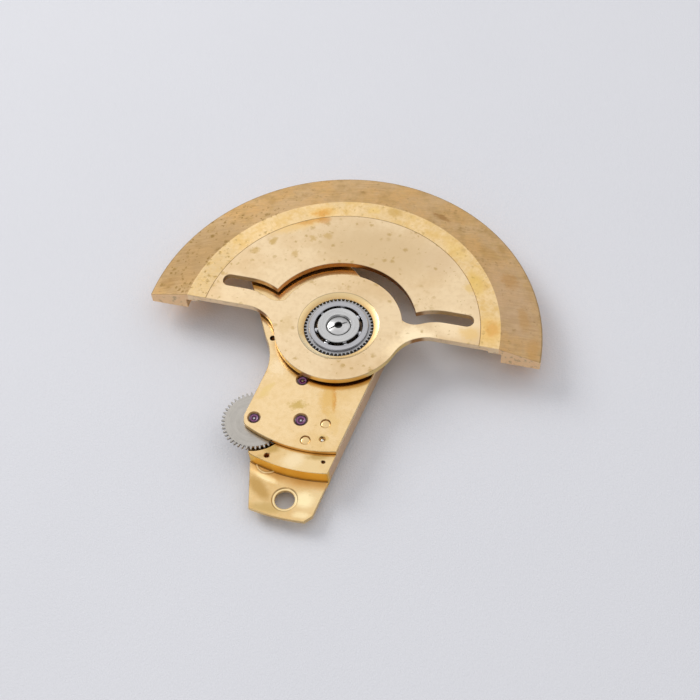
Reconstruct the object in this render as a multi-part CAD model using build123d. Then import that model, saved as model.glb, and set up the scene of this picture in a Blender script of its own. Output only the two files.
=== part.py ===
from build123d import *
import os
from math import atan2, cos, degrees, radians, sin, sqrt

# Automatic winding rotor of a wrist watch on its winding module.
# The rotor axis is Z. Z = 0 is the face that lies on the movement.
# The heavy half of the rotor points to +Y, the fixing tab to -Y.
# All lengths are in millimetres and all angles in degrees.

# Rotor: a thin plate, a heavy rim lapped over its edge
rim_clearance = 0.19
rim_width = 2.40
band_width = 2.57
flange_width = 0.66
lap_width = 0.56
rotor_edge_y = 0.28
plate_thickness = 0.40
lap_thickness = 0.20
flange_thickness = 0.55
band_drop = 0.70
rim_chamfer = 0.05
hub_width = 1.49
hub_fillet = 2.30
countersink_width = 0.352
countersink_depth = 0.22

# Spring slots: an arc above the hub that runs out into two wings
arc_slot_inset = 0.07
arc_slot_width = 0.91
arc_slot_half_angle = 66.8
slot_root_angle = 72.4
wing_margin = 0.65
wing_width = 0.87
wing_centre_y = 1.97
wing_straight_share = 0.54
wing_bend_share = 0.27
wing_bend_drop = 0.82

# Heights of the module and the air under the rotor
tab_thickness = 0.30
top_bridge_thickness = 0.30
bottom_bridge_thickness = 0.30
rotor_lift = 0.20
rim_lift = 0.45

# Module outline, seen from above
block_corner_angle = -108.3
ledge_width = 1.288
top_bridge_corner_angle = -116.6
far_ledge_width = 2.51
right_wall = 0.77
right_edge_lean = 8.5
far_wall = 1.10
far_edge_heading = 140.3
nose_side = 0.63
waist_margin = 0.37
shoulder_width = 2.11
shoulder_angle = -162.0
flank_radius = 6.92
flank_angle = 158.4
far_side_heading = 109.3
tab_proud = 0.10
tab_left_angle = -100.6
tab_right_angle = -85.0
tab_chamfer = 0.38
tab_chamfer_angle = -83.1

# Fixing holes: the tab's for a screw, the far one for a stud of the movement and its screw
fixing_bore_radius = 0.60
fixing_sink_width = 0.15
fixing_sink_depth = 0.07
tab_hole_margin = 1.18
tab_hole_angle = -92.0
far_hole_margin = 1.21
far_hole_angle = 130.0
far_hole_sink_depth = 0.55

# Toothed train, all of one tooth size
tooth_module = 0.085
rotor_teeth = 53
reverser_teeth = 45
pinion_teeth = 16
reduction_teeth = 50
output_teeth = 12
addendum_share = 1.0
dedendum_share = 1.35
tooth_width_share = 0.46
tooth_tip_share = 0.12
first_reverser_angle = -107.6
reverser_line_angle = -123.8
wheel_thickness = 0.15
wheel_gap = 0.05
pocket_clearance = 0.14
gear_clearance = 0.11
running_clearance = 0.02

# Arbors, clicks and jewels
arbor_radius = 0.15
collar_radius = 0.26
pivot_radius = 0.06
pivot_clearance = 0.012
star_radius = 0.46
star_root_radius = 0.36
star_teeth = 8
star_thickness = 0.10
pinion_height = 0.24
pinion_floor = 0.16
click_floor = 0.18
click_stud_radius = 0.09
click_stud_distance = 1.05
click_reach_angle = 60.0
click_width = 0.16
click_nose = 0.05
click_rise = 0.09
click_lift = 0.03
click_count = 2
jewel_radius = 0.32
jewel_thickness = 0.18
jewel_sink_width = 0.08
jewel_sink_depth = 0.08
jewel_cup_radius = 0.20
jewel_cup_depth = 0.06
large_jewel_share = 1.12

# Ball bearing under the rotor hub
ball_count = 7
ball_radius = 0.22
ball_clearance = 0.01
race_depth = 0.44
ball_depth = 0.37
ball_phase = 45.0
race_gap = 0.20
gear_wall = 0.298
outer_ring_depth = 0.05
outer_ring_height = 0.64
ring_chamfer = 0.03
neck_depth = 0.20
neck_tooth_share = 0.75
cone_proud = 0.02
cone_stem_step = 0.30
cage_wall = 0.11
cage_height = 0.30
cage_clearance = 0.015
head_recess_width = 0.12
head_recess_depth = 0.17
screw_head_radius = 0.68
screw_head_rim = 0.08
screw_head_dome = 0.13
screw_shank_radius = 0.40
screw_slot_width = 0.11
screw_slot_depth = 0.12
screw_slot_angle = 35.0
screw_hole_radius = 0.24
screw_hole_depth = 0.30
post_gap = 0.10
thread_floor = 0.25

# Rivets, pin, screws and drilled holes of the module
rivet_radius = 0.30
rivet_recess = 0.05
rivet_web = 0.10
first_rivet_margin = 1.90
first_rivet_angle = -82.3
second_rivet_margin = 0.62
second_rivet_angle = -89.9
steady_pin_radius = 0.11
steady_hole_radius = 0.185
steady_pin_drop = 0.10
steady_margin = 0.83
steady_angle = -82.8
oil_hole_radius = 0.17
oil_hole_margin = 0.44
oil_hole_angle = -160.0
boss_hole_radius = 0.155
boss_hole_margin = 0.37
boss_hole_angle = -102.1
corner_hole_radius = 0.095
corner_hole_margin = 0.76
corner_hole_angle = -81.4
ledge_hole_depth = 0.55
boss_radius = 0.70
boss_height = 0.06
bottom_screw_radius = 0.17
bottom_screw_head_radius = 0.32
bottom_screw_head_height = 0.14
bottom_screw_length = 0.62
bottom_screw_slot = 0.07
outer_screw_margin = 0.46
outer_screw_angle = -94.0
right_screw_step = 1.13
right_screw_angle = -69.5
left_screw_step = 1.34
left_screw_angle = -146.3
bottom_ear_width = 0.18
bottom_margin = 0.32
bottom_fit = 0.02
window_radius = 0.80
window_distance = 1.50
window_angle = 20.0

# One length by which every cutting tool runs past the metal
overrun = 0.50

# Heights worked out from the sizes above, from the bottom bridge upwards
pinion_bottom = bottom_bridge_thickness + pinion_floor
pinion_top = pinion_bottom + pinion_height
reduction_bottom = pinion_bottom + wheel_gap
reduction_top = reduction_bottom + wheel_thickness
pocket_floor = pinion_top + wheel_gap
star_bottom = pocket_floor + click_floor
star_top = star_bottom + star_thickness
wheel_bottom = star_top + running_clearance
wheel_top = wheel_bottom + wheel_thickness
main_plate_height = wheel_top + wheel_gap
top_bridge_top = main_plate_height + top_bridge_thickness
plate_bottom = top_bridge_top + rotor_lift
plate_top = plate_bottom + plate_thickness
rim_bottom = tab_thickness + rim_lift
gear_bottom = wheel_bottom - wheel_gap
post_floor = gear_bottom - post_gap
rivet_floor = pocket_floor + rivet_web

# Radii worked out from the tooth counts
rotor_gear_radius = tooth_module * rotor_teeth / 2
reverser_radius = tooth_module * reverser_teeth / 2
pinion_radius = tooth_module * pinion_teeth / 2
reduction_radius = tooth_module * reduction_teeth / 2
addendum = tooth_module * addendum_share
dedendum = tooth_module * dedendum_share
rotor_gear_tip = rotor_gear_radius + addendum
reverser_tip = reverser_radius + addendum
pinion_tip = pinion_radius + addendum
reduction_tip = reduction_radius + addendum
gear_opening_radius = rotor_gear_tip + gear_clearance
wheel_pocket_radius = reverser_tip + pocket_clearance
neck_radius = rotor_gear_radius - dedendum
plate_hole_radius = neck_radius + running_clearance
countersink_radius = plate_hole_radius + countersink_width
hub_radius = countersink_radius + hub_width
arc_slot_inner_radius = hub_radius - arc_slot_inset
arc_slot_outer_radius = arc_slot_inner_radius + arc_slot_width
outer_ring_radius = neck_radius - gear_wall
ball_circle_radius = outer_ring_radius - race_depth
cone_rim_radius = ball_circle_radius - race_gap / 2
right_edge_offset = gear_opening_radius + right_wall
far_edge_offset = gear_opening_radius + far_wall
shoulder_radius = gear_opening_radius + shoulder_width
fixing_sink_radius = fixing_bore_radius + fixing_sink_width
bottom_ear_radius = bottom_screw_head_radius + bottom_ear_width


def polar(radius, angle, centre=(0, 0)):
    """Point at a distance and an angle from a centre."""
    return (
        centre[0] + radius * cos(radians(angle)),
        centre[1] + radius * sin(radians(angle)),
    )


def heading(start, end):
    """Angle of the line from one point to another."""
    return degrees(atan2(end[1] - start[1], end[0] - start[0]))


def run_to_circle(start, direction, radius):
    """Point where a line from start meets a circle about the rotor axis."""
    dx, dy = polar(1, direction)
    along = start[0] * dx + start[1] * dy
    square = start[0] ** 2 + start[1] ** 2 - radius ** 2
    length = -along + sqrt(along ** 2 - square)
    return (start[0] + length * dx, start[1] + length * dy)


# Wheel centres: first reverser beside the rotor gear, second beside it,
# the reduction wheel between both on the side away from the edge
first_centre = polar(rotor_gear_radius + reverser_radius, first_reverser_angle)
second_centre = polar(2 * reverser_radius, reverser_line_angle, first_centre)
pinion_distance = pinion_radius + reduction_radius
triangle_angle = degrees(atan2(sqrt(pinion_distance ** 2 - reverser_radius ** 2), reverser_radius))
reduction_centre = polar(pinion_distance, reverser_line_angle + triangle_angle, first_centre)
window_centre = polar(window_distance, window_angle, reduction_centre)

# The block reaches as far as the train, and the rim passes round it
block_radius = sqrt(second_centre[0] ** 2 + second_centre[1] ** 2) + reverser_tip
top_bridge_radius = block_radius - ledge_width
top_bridge_far_radius = block_radius - far_ledge_width
rim_inner_radius = block_radius + rim_clearance
rotor_radius = rim_inner_radius + rim_width
band_inner_radius = rotor_radius - band_width
lap_outer_radius = band_inner_radius - flange_width
plate_radius = lap_outer_radius - lap_width
tab_radius = rotor_radius + tab_proud
tab_chamfer_radius = tab_radius - tab_chamfer

# Places of holes, pins and screws, by their distances from the edges near them
tab_hole_centre = polar(tab_radius - tab_hole_margin, tab_hole_angle)
far_hole_centre = polar(block_radius - far_hole_margin, far_hole_angle)
rivet_places = [
    polar(top_bridge_radius - first_rivet_margin, first_rivet_angle),
    polar(top_bridge_radius - second_rivet_margin, second_rivet_angle),
]
steady_place = polar(top_bridge_radius - steady_margin, steady_angle)
oil_hole_place = polar(shoulder_radius - oil_hole_margin, oil_hole_angle)
boss_place = polar(block_radius - boss_hole_margin, boss_hole_angle)
corner_hole_place = polar(block_radius - corner_hole_margin, corner_hole_angle)
bottom_screw_places = [
    polar(block_radius - outer_screw_margin, outer_screw_angle),
    polar(gear_opening_radius + right_screw_step, right_screw_angle),
    polar(gear_opening_radius + left_screw_step, left_screw_angle),
]


def place(shape, centre, height=0):
    """Move a shape to a plan position and a height."""
    return Pos(centre[0], centre[1], height) * shape


def prism(sketch, bottom, top):
    """Straight solid between two heights."""
    return extrude(Pos(0, 0, bottom) * sketch, amount=top - bottom, dir=(0, 0, 1))


def rod(radius, bottom, top, centre=(0, 0)):
    """Round solid between two heights."""
    return prism(place(Circle(radius), centre), bottom, top)


def turned(points):
    """Solid of revolution about Z from (radius, height) points."""
    outline = Polyline(*[(radius, 0, height) for radius, height in points], close=True)
    return revolve(make_face(outline), axis=Axis.Z)


def gear_face(teeth, phase, tip=0, root=0):
    """Watch gear: radial flanks below the pitch line, pointed tips above it."""
    pitch = tooth_module * teeth / 2
    tip = tip or pitch + addendum
    root = root or pitch - dedendum
    step = 360 / teeth
    half_width = step * tooth_width_share / 2
    half_tip = step * tooth_tip_share / 2
    shoulder = min(pitch, tip)
    points = []
    for tooth in range(teeth):
        middle = phase + tooth * step
        points.append(polar(root, middle - half_width))
        if tip > pitch:
            points.append(polar(shoulder, middle - half_width))
        points.append(polar(tip, middle - half_tip))
        points.append(polar(tip, middle + half_tip))
        if tip > pitch:
            points.append(polar(shoulder, middle + half_width))
        points.append(polar(root, middle + half_width))
    return make_face(Polyline(*points, close=True))


def meshing_phase(phase, teeth, line, follower_teeth):
    """Tooth angle of a follower whose gap takes the driver's tooth."""
    offset = (phase - line) * teeth / follower_teeth
    return line + 180 - offset + 180 / follower_teeth


# Tooth phases at rest, so that every mesh is free of overlap
first_line = first_reverser_angle + 180
rotor_phase = first_reverser_angle + 180 / rotor_teeth
first_phase = first_line
second_phase = meshing_phase(first_phase, reverser_teeth, reverser_line_angle, reverser_teeth)
second_line = heading(second_centre, reduction_centre)
second_pinion_phase = second_line
reduction_phase = meshing_phase(second_pinion_phase, pinion_teeth, second_line, reduction_teeth)
reduction_line = heading(reduction_centre, first_centre)
first_pinion_phase = meshing_phase(reduction_phase, reduction_teeth, reduction_line, pinion_teeth)


def module_outline(near_radius, near_corner_angle, far_radius):
    """Common plan of the main plate and the top bridge."""
    right_foot = polar(right_edge_offset, -right_edge_lean)
    near_right = run_to_circle(right_foot, -right_edge_lean - 90, near_radius)
    near_left = polar(near_radius, near_corner_angle)
    near_middle = polar(near_radius, (heading((0, 0), near_right) + near_corner_angle) / 2)
    nose = (second_centre[0] - nose_side, second_centre[1])
    waist = (first_centre[0] - reverser_tip - waist_margin, first_centre[1])
    shoulder = polar(shoulder_radius, shoulder_angle)
    flank = polar(flank_radius, flank_angle)
    far_left = run_to_circle(flank, far_side_heading, far_radius)
    far_foot = polar(far_edge_offset, far_edge_heading - 90)
    far_right = run_to_circle(far_foot, far_edge_heading, far_radius)
    far_middle = polar(far_radius, (heading((0, 0), far_left) + heading((0, 0), far_right)) / 2)
    hub_angle = (far_edge_heading - 90 - right_edge_lean) / 2
    hub_middle = polar((right_edge_offset + far_edge_offset) / 2, hub_angle)
    waist_way = polar(1, heading(nose, waist))
    return make_face([
        ThreePointArc(near_right, near_middle, near_left),
        Line(near_left, nose),
        Line(nose, waist),
        TangentArc(waist, shoulder, tangent=waist_way),
        Line(shoulder, flank),
        Line(flank, far_left),
        ThreePointArc(far_left, far_middle, far_right),
        Line(far_right, far_foot),
        ThreePointArc(far_foot, hub_middle, right_foot),
        Line(right_foot, near_right),
    ])


def tab_outline():
    """Plan of the thin fixing tab that passes under the rim."""
    right_foot = polar(right_edge_offset, -right_edge_lean)
    inner_right = run_to_circle(right_foot, -right_edge_lean - 90, top_bridge_radius)
    inner_left = polar(block_radius, block_corner_angle)
    outer_left = polar(tab_radius, tab_left_angle)
    outer_middle = polar(tab_radius, (tab_left_angle + tab_right_angle) / 2)
    outer_right = polar(tab_radius, tab_right_angle)
    chamfer_end = polar(tab_chamfer_radius, tab_chamfer_angle)
    return make_face([
        Line(inner_right, inner_left),
        Line(inner_left, outer_left),
        ThreePointArc(outer_left, outer_middle, outer_right),
        Line(outer_right, chamfer_end),
        Line(chamfer_end, inner_right),
    ])


def wing_slot(side):
    """One wing of the spring slot, for the right (1) or left (-1) side."""
    half = wing_width / 2
    tip_x = plate_radius - wing_margin
    cap_x = tip_x - half
    top_y = wing_centre_y + half
    low_y = wing_centre_y - half
    cusp = polar(arc_slot_outer_radius, 90 - arc_slot_half_angle)
    root = polar(arc_slot_inner_radius, 90 - slot_root_angle)
    inner_end = polar(arc_slot_inner_radius, 90 - arc_slot_half_angle)
    inner_middle = polar(arc_slot_inner_radius, 90 - (slot_root_angle + arc_slot_half_angle) / 2)
    straight_x = cusp[0] + (tip_x - cusp[0]) * wing_straight_share
    bend = (root[0] + (tip_x - root[0]) * wing_bend_share, wing_centre_y - wing_bend_drop)
    upper = TangentArc((straight_x, top_y), cusp, tangent=(-1, 0))
    lower = TangentArc((straight_x, low_y), bend, tangent=(-1, 0))
    corner = TangentArc(bend, root, tangent=lower % 1)
    face = make_face([
        upper,
        Line((straight_x, top_y), (cap_x, top_y)),
        ThreePointArc((cap_x, top_y), (tip_x, wing_centre_y), (cap_x, low_y)),
        Line((cap_x, low_y), (straight_x, low_y)),
        lower,
        corner,
        ThreePointArc(root, inner_middle, inner_end),
        Line(inner_end, cusp),
    ])
    return face if side > 0 else mirror(face, about=Plane.YZ)


def arc_slot():
    """Arc-shaped part of the spring slot above the hub."""
    ring = Circle(arc_slot_outer_radius) - Circle(arc_slot_inner_radius)
    reach = 2 * arc_slot_outer_radius
    left = polar(reach, 90 + arc_slot_half_angle)
    right = polar(reach, 90 - arc_slot_half_angle)
    sector = Polygon((0, 0), right, (reach, reach), (-reach, reach), left, align=None)
    return ring & sector


def above_edge(radius):
    """Half plane above the straight lower edge of the rotor, as a big rectangle."""
    width = 2 * (radius + overrun)
    height = radius + overrun
    return Pos(0, rotor_edge_y + height / 2) * Rectangle(width, height)


def build_rotor_plate():
    """Thin half disc with its round hub, spring slots and rebated edge."""
    fillet_y = rotor_edge_y - hub_fillet
    fillet_x = sqrt((hub_radius + hub_fillet) ** 2 - fillet_y ** 2)
    shape = (Circle(lap_outer_radius) & above_edge(lap_outer_radius)) + Circle(hub_radius)
    shape += Polygon(
        (fillet_x, rotor_edge_y),
        (-fillet_x, rotor_edge_y),
        (-fillet_x, fillet_y),
        (0, 0),
        (fillet_x, fillet_y),
        align=None,
    )
    for side in (1, -1):
        shape -= place(Circle(hub_fillet), (side * fillet_x, fillet_y))
    shape -= arc_slot()
    for side in (1, -1):
        shape -= wing_slot(side)
    plate = prism(shape, plate_bottom, plate_top)
    rebate = Circle(lap_outer_radius + overrun) - Circle(plate_radius)
    plate -= prism(rebate, plate_top - lap_thickness, plate_top + overrun)
    slope = (countersink_radius - plate_hole_radius) / countersink_depth
    plate -= rod(plate_hole_radius, plate_bottom - overrun, plate_top + overrun)
    plate -= turned([
        (0, plate_top - countersink_depth),
        (plate_hole_radius, plate_top - countersink_depth),
        (countersink_radius + overrun * slope, plate_top + overrun),
        (0, plate_top + overrun),
    ])
    return plate


def build_rotor_weight():
    """Heavy rim: a lip over the plate edge, a flush flange and a sloping band."""
    outer_top = plate_top - band_drop
    ring = turned([
        (plate_radius, plate_top - lap_thickness),
        (plate_radius, plate_top),
        (band_inner_radius, plate_top),
        (rotor_radius - rim_chamfer, outer_top + rim_chamfer),
        (rotor_radius, outer_top - rim_chamfer),
        (rotor_radius, rim_bottom + rim_chamfer),
        (rotor_radius - rim_chamfer, rim_bottom),
        (rim_inner_radius, rim_bottom),
        (rim_inner_radius, plate_top - flange_thickness),
        (lap_outer_radius, plate_top - flange_thickness),
        (lap_outer_radius, plate_top - lap_thickness),
    ])
    return ring & prism(above_edge(rotor_radius), 0, plate_top + overrun)


def build_rotor_gear():
    """Toothed tube pressed into the plate; its neck keeps the tooth ends as a knurl."""
    neck_top = plate_top - neck_depth
    neck_root = neck_radius - addendum * neck_tooth_share
    gear = prism(gear_face(rotor_teeth, rotor_phase), gear_bottom, plate_bottom)
    gear += prism(gear_face(rotor_teeth, rotor_phase, plate_hole_radius, neck_root), plate_bottom, neck_top)
    return gear - rod(outer_ring_radius, gear_bottom - overrun, neck_top + overrun)


ball_height = plate_top - ball_depth
race_radius = ball_radius + ball_clearance


def race_groove():
    """Ring-shaped cutter in which the balls run."""
    section = Plane.XZ * Pos(ball_circle_radius, ball_height) * Circle(race_radius)
    return revolve(section, axis=Axis.Z)


def build_outer_ring():
    """Outer race of the ball bearing."""
    top = plate_top - outer_ring_depth
    bottom = top - outer_ring_height
    inner = ball_circle_radius + race_gap / 2
    ring = turned([
        (inner, bottom),
        (outer_ring_radius, bottom),
        (outer_ring_radius, top - ring_chamfer),
        (outer_ring_radius - ring_chamfer, top),
        (inner, top),
    ])
    return ring - race_groove()


def build_cones():
    """Upper and lower halves of the inner race, parted at the ball plane."""
    rim = cone_rim_radius
    stem = rim - cone_stem_step
    top = plate_top + cone_proud
    recess = top - head_recess_depth
    lower_rim = ball_height - ball_radius
    upper = turned([
        (screw_shank_radius, ball_height),
        (rim, ball_height),
        (rim, top - ring_chamfer),
        (rim - ring_chamfer, top),
        (screw_head_radius + head_recess_width, top),
        (screw_head_radius + running_clearance, recess),
        (screw_shank_radius, recess),
    ])
    lower = turned([
        (screw_shank_radius, post_floor),
        (stem, post_floor),
        (stem, lower_rim),
        (rim, lower_rim),
        (rim, ball_height),
        (screw_shank_radius, ball_height),
    ])
    groove = race_groove()
    return upper - groove, lower - groove


def ball_places():
    """Centres of the balls round the bearing."""
    step = 360 / ball_count
    return [polar(ball_circle_radius, ball_phase + step * ball) for ball in range(ball_count)]


def build_balls():
    """The set of bearing balls."""
    return Compound(children=[place(Sphere(ball_radius), centre, ball_height) for centre in ball_places()])


def build_cage():
    """Thin ring with one pocket for each ball, hung below the ball plane."""
    inner = ball_circle_radius - cage_wall / 2
    outer = ball_circle_radius + cage_wall / 2
    top = ball_height - cage_clearance
    cage = rod(outer, top - cage_height, top) - rod(inner, top - cage_height, top)
    for centre in ball_places():
        cage -= place(Sphere(ball_radius + cage_clearance), centre, ball_height)
    return cage


def build_bearing_screw():
    """Domed screw with a slot and a centre hole that clamps the inner race."""
    seat = plate_top + cone_proud - head_recess_depth
    head_top = seat + screw_head_rim + screw_head_dome
    section = make_face([
        Line((0, 0, thread_floor), (screw_shank_radius, 0, thread_floor)),
        Line((screw_shank_radius, 0, thread_floor), (screw_shank_radius, 0, seat)),
        Line((screw_shank_radius, 0, seat), (screw_head_radius, 0, seat)),
        Line((screw_head_radius, 0, seat), (screw_head_radius, 0, seat + screw_head_rim)),
        TangentArc((0, 0, head_top), (screw_head_radius, 0, seat + screw_head_rim), tangent=(1, 0, 0)),
        Line((0, 0, head_top), (0, 0, thread_floor)),
    ])
    screw = revolve(section, axis=Axis.Z)
    slot = Rectangle(2 * (screw_head_radius + overrun), screw_slot_width)
    screw -= prism(Rot(0, 0, screw_slot_angle) * slot, head_top - screw_slot_depth, head_top + overrun)
    return screw - rod(screw_hole_radius, head_top - screw_hole_depth, head_top + overrun)


def stud_places(arbor_phase):
    """Centres of the click studs on a reverser wheel."""
    first_angle = arbor_phase - click_reach_angle
    turn = 360 / click_count
    return [polar(click_stud_distance, first_angle + click * turn) for click in range(click_count)]


def build_clicks(arbor_phase, engaged):
    """Clicks under a reverser wheel, their noses in the star or lifted clear of it."""
    nose_distance = star_radius + click_lift + click_nose
    if engaged:
        nose_distance = star_root_radius + click_rise
    gap_angle = degrees((click_nose + running_clearance) / nose_distance)
    clicks = []
    for click, stud in enumerate(stud_places(arbor_phase)):
        face_angle = arbor_phase + click * 360 / click_count
        nose = place(Circle(click_nose), polar(nose_distance, face_angle - gap_angle))
        eye = place(Circle(click_width), stud)
        arm = make_hull(nose.edges() + eye.edges()) - place(Circle(click_stud_radius), stud)
        clicks.append(prism(arm, star_bottom, wheel_bottom))
    return clicks


def build_reverser_wheel(phase, arbor_phase):
    """Plain toothed wheel, free on its arbor, with the studs of its clicks."""
    wheel = prism(gear_face(reverser_teeth, phase), wheel_bottom, wheel_top)
    wheel -= rod(arbor_radius + running_clearance, wheel_bottom - overrun, wheel_top + overrun)
    for centre in stud_places(arbor_phase):
        wheel += rod(click_stud_radius, star_bottom, wheel_bottom, centre)
    return wheel


def star_face(phase):
    """Ratchet star with saw teeth."""
    step = 360 / star_teeth
    points = []
    for tooth in range(star_teeth):
        points.append(polar(star_root_radius, phase + tooth * step))
        points.append(polar(star_radius, phase + tooth * step))
    return make_face(Polyline(*points, close=True))


def pivoted_shaft():
    """Arbor body with a fine pivot at each end."""
    low_end = bottom_bridge_thickness - jewel_thickness
    high_end = main_plate_height + jewel_thickness
    low = bottom_bridge_thickness + running_clearance
    high = main_plate_height - running_clearance
    return rod(pivot_radius, low_end, high_end) + rod(arbor_radius, low, high)


def build_reverser_arbor(arbor_phase, pinion_phase):
    """Reverser arbor with its ratchet star, driving pinion and top collar."""
    arbor = pivoted_shaft()
    arbor += prism(star_face(arbor_phase), star_bottom, star_top)
    arbor += prism(gear_face(pinion_teeth, pinion_phase), pinion_bottom, pinion_top)
    collar_bottom = wheel_top + running_clearance / 2
    return arbor + rod(collar_radius, collar_bottom, main_plate_height - running_clearance)


def build_reduction():
    """Reduction wheel and the arbor with the output pinion that carries it."""
    low = bottom_bridge_thickness + running_clearance
    arbor = pivoted_shaft()
    arbor += prism(gear_face(output_teeth, 0), low, reduction_bottom)
    wheel = prism(gear_face(reduction_teeth, reduction_phase), reduction_bottom, reduction_top)
    wheel -= rod(arbor_radius, reduction_bottom - overrun, reduction_top + overrun)
    return wheel, arbor


def build_jewel(size=1, upward=True):
    """Pierced bearing jewel with its oil cup."""
    radius = jewel_radius * size
    hole = pivot_radius + pivot_clearance
    jewel = turned([
        (hole, 0),
        (radius, 0),
        (radius, jewel_thickness),
        (jewel_cup_radius * size, jewel_thickness),
        (hole, jewel_thickness - jewel_cup_depth),
    ])
    return jewel if upward else mirror(jewel, about=Plane.XY)


wheel_places = (
    ("first_reverser", first_centre, 1),
    ("second_reverser", second_centre, 1),
    ("reduction", reduction_centre, large_jewel_share),
)


def upper_jewel_bottom():
    """Height of the underside of an upper jewel."""
    return top_bridge_top - jewel_sink_depth - jewel_thickness


def lower_jewel_top():
    """Height of the inner face of a lower jewel."""
    return jewel_sink_depth + jewel_thickness


def top_pocket():
    """Plan of the pocket for both reverser wheels, one smooth oblong."""
    circles = [place(Circle(wheel_pocket_radius), centre) for centre in (first_centre, second_centre)]
    return make_hull(circles[0].edges() + circles[1].edges())


def bottom_pocket():
    """Plan of the lower pocket for the reduction wheel and the two pinions."""
    shape = place(Circle(reduction_tip + pocket_clearance), reduction_centre)
    for centre in (first_centre, second_centre):
        shape += place(Circle(pinion_tip + pocket_clearance), centre)
    return shape


def bottom_bridge_outline(fit):
    """Plan of the bottom bridge, smaller than its recess by the fit."""
    circles = place(Circle(reduction_tip + bottom_margin - fit), reduction_centre).edges()
    circles += place(Circle(nose_side - fit), second_centre).edges()
    for centre in bottom_screw_places:
        circles += place(Circle(bottom_ear_radius - fit), centre).edges()
    return make_hull(circles)


def build_main_plate():
    """Milled plate: block with pockets, ledge, fixing tab and bearing seat."""
    outline = module_outline(block_radius, block_corner_angle, block_radius)
    plate = prism(outline, 0, main_plate_height) + prism(tab_outline(), 0, tab_thickness)
    plate += rod(boss_radius, tab_thickness, tab_thickness + boss_height, boss_place)
    plate -= prism(top_pocket(), pocket_floor, main_plate_height + overrun)
    plate -= rod(gear_opening_radius, post_floor, main_plate_height + overrun)
    plate -= prism(bottom_pocket(), -overrun, pocket_floor)
    recess = bottom_bridge_outline(0)
    plate -= prism(recess, -overrun, bottom_bridge_thickness)
    shaft_way = arbor_radius + wheel_gap
    plate -= rod(shaft_way, pocket_floor - overrun, main_plate_height + overrun, reduction_centre)
    plate -= rod(screw_shank_radius, thread_floor, post_floor + overrun)
    for centre, depth, top in (
        (tab_hole_centre, fixing_sink_depth, tab_thickness),
        (far_hole_centre, far_hole_sink_depth, main_plate_height),
    ):
        plate -= rod(fixing_bore_radius, -overrun, top + overrun, centre)
        plate -= rod(fixing_sink_radius, top - depth, top + overrun, centre)
    ledge_hole_floor = main_plate_height - ledge_hole_depth
    plate -= rod(boss_hole_radius, ledge_hole_floor, main_plate_height + overrun, boss_place)
    plate -= rod(corner_hole_radius, ledge_hole_floor, main_plate_height + overrun, corner_hole_place)
    for centre in rivet_places:
        plate -= rod(rivet_radius, rivet_floor, main_plate_height + overrun, centre)
    plate -= rod(steady_pin_radius, rivet_floor, main_plate_height + overrun, steady_place)
    plate -= rod(oil_hole_radius, rivet_floor, main_plate_height + overrun, oil_hole_place)
    screw_end = bottom_screw_head_height + bottom_screw_length
    for centre in bottom_screw_places:
        plate -= rod(bottom_screw_radius, -overrun, screw_end, centre)
    return plate


def build_top_bridge():
    """Thin polished bridge over the wheels, with the upper jewels."""
    outline = module_outline(top_bridge_radius, top_bridge_corner_angle, top_bridge_far_radius)
    bridge = prism(outline, main_plate_height, top_bridge_top)
    low = main_plate_height - overrun
    high = top_bridge_top + overrun
    bridge -= rod(gear_opening_radius, low, high)
    for _, centre, size in wheel_places:
        bridge -= rod(jewel_radius * size, low, high, centre)
        sink_radius = jewel_radius * size + jewel_sink_width
        bridge -= rod(sink_radius, top_bridge_top - jewel_sink_depth, high, centre)
    for centre in rivet_places:
        bridge -= rod(rivet_radius, low, high, centre)
    bridge -= rod(steady_hole_radius, low, high, steady_place)
    return bridge - rod(oil_hole_radius, low, high, oil_hole_place)


def build_bottom_bridge():
    """Flush bridge under the wheels, with the lower jewels and the drive window."""
    outline = module_outline(block_radius, block_corner_angle, block_radius)
    bridge = prism(bottom_bridge_outline(bottom_fit) & outline, 0, bottom_bridge_thickness)
    high = bottom_bridge_thickness + overrun
    for _, centre, size in wheel_places:
        bridge -= rod(jewel_radius * size, -overrun, high, centre)
        bridge -= rod(jewel_radius * size + jewel_sink_width, -overrun, jewel_sink_depth, centre)
    bridge -= rod(window_radius, -overrun, high, window_centre)
    for centre in bottom_screw_places:
        bridge -= rod(bottom_screw_radius, -overrun, high, centre)
        bridge -= rod(bottom_screw_head_radius, -overrun, bottom_screw_head_height, centre)
    return bridge


def build_bottom_screws():
    """Slotted screws that hold the bottom bridge, heads flush with its face."""
    screws = []
    for centre in bottom_screw_places:
        head_top = bottom_screw_head_height
        screw = rod(bottom_screw_head_radius, 0, head_top, centre)
        screw += rod(bottom_screw_radius, 0, head_top + bottom_screw_length, centre)
        slot = Rectangle(2 * (bottom_screw_head_radius + overrun), bottom_screw_slot)
        slot = place(Rot(0, 0, screw_slot_angle) * slot, centre)
        screws.append(screw - prism(slot, -overrun, bottom_screw_slot))
    return Compound(children=screws)


def build_rivets():
    """Rivets whose ends lie just under the face of the top bridge."""
    high = top_bridge_top - rivet_recess
    return Compound(children=[rod(rivet_radius, rivet_floor, high, centre) for centre in rivet_places])


def build_steady_pin():
    """Steady pin standing in the main plate, seen in its hole in the bridge."""
    return rod(steady_pin_radius, rivet_floor, top_bridge_top - steady_pin_drop, steady_place)


os.makedirs("parts", exist_ok=True)


def save(name, shape):
    """Write one node."""
    if isinstance(shape, (list, ShapeList)):
        shape = Compound(children=list(shape))
    export_step(shape, f"parts/{name}.step")


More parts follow.
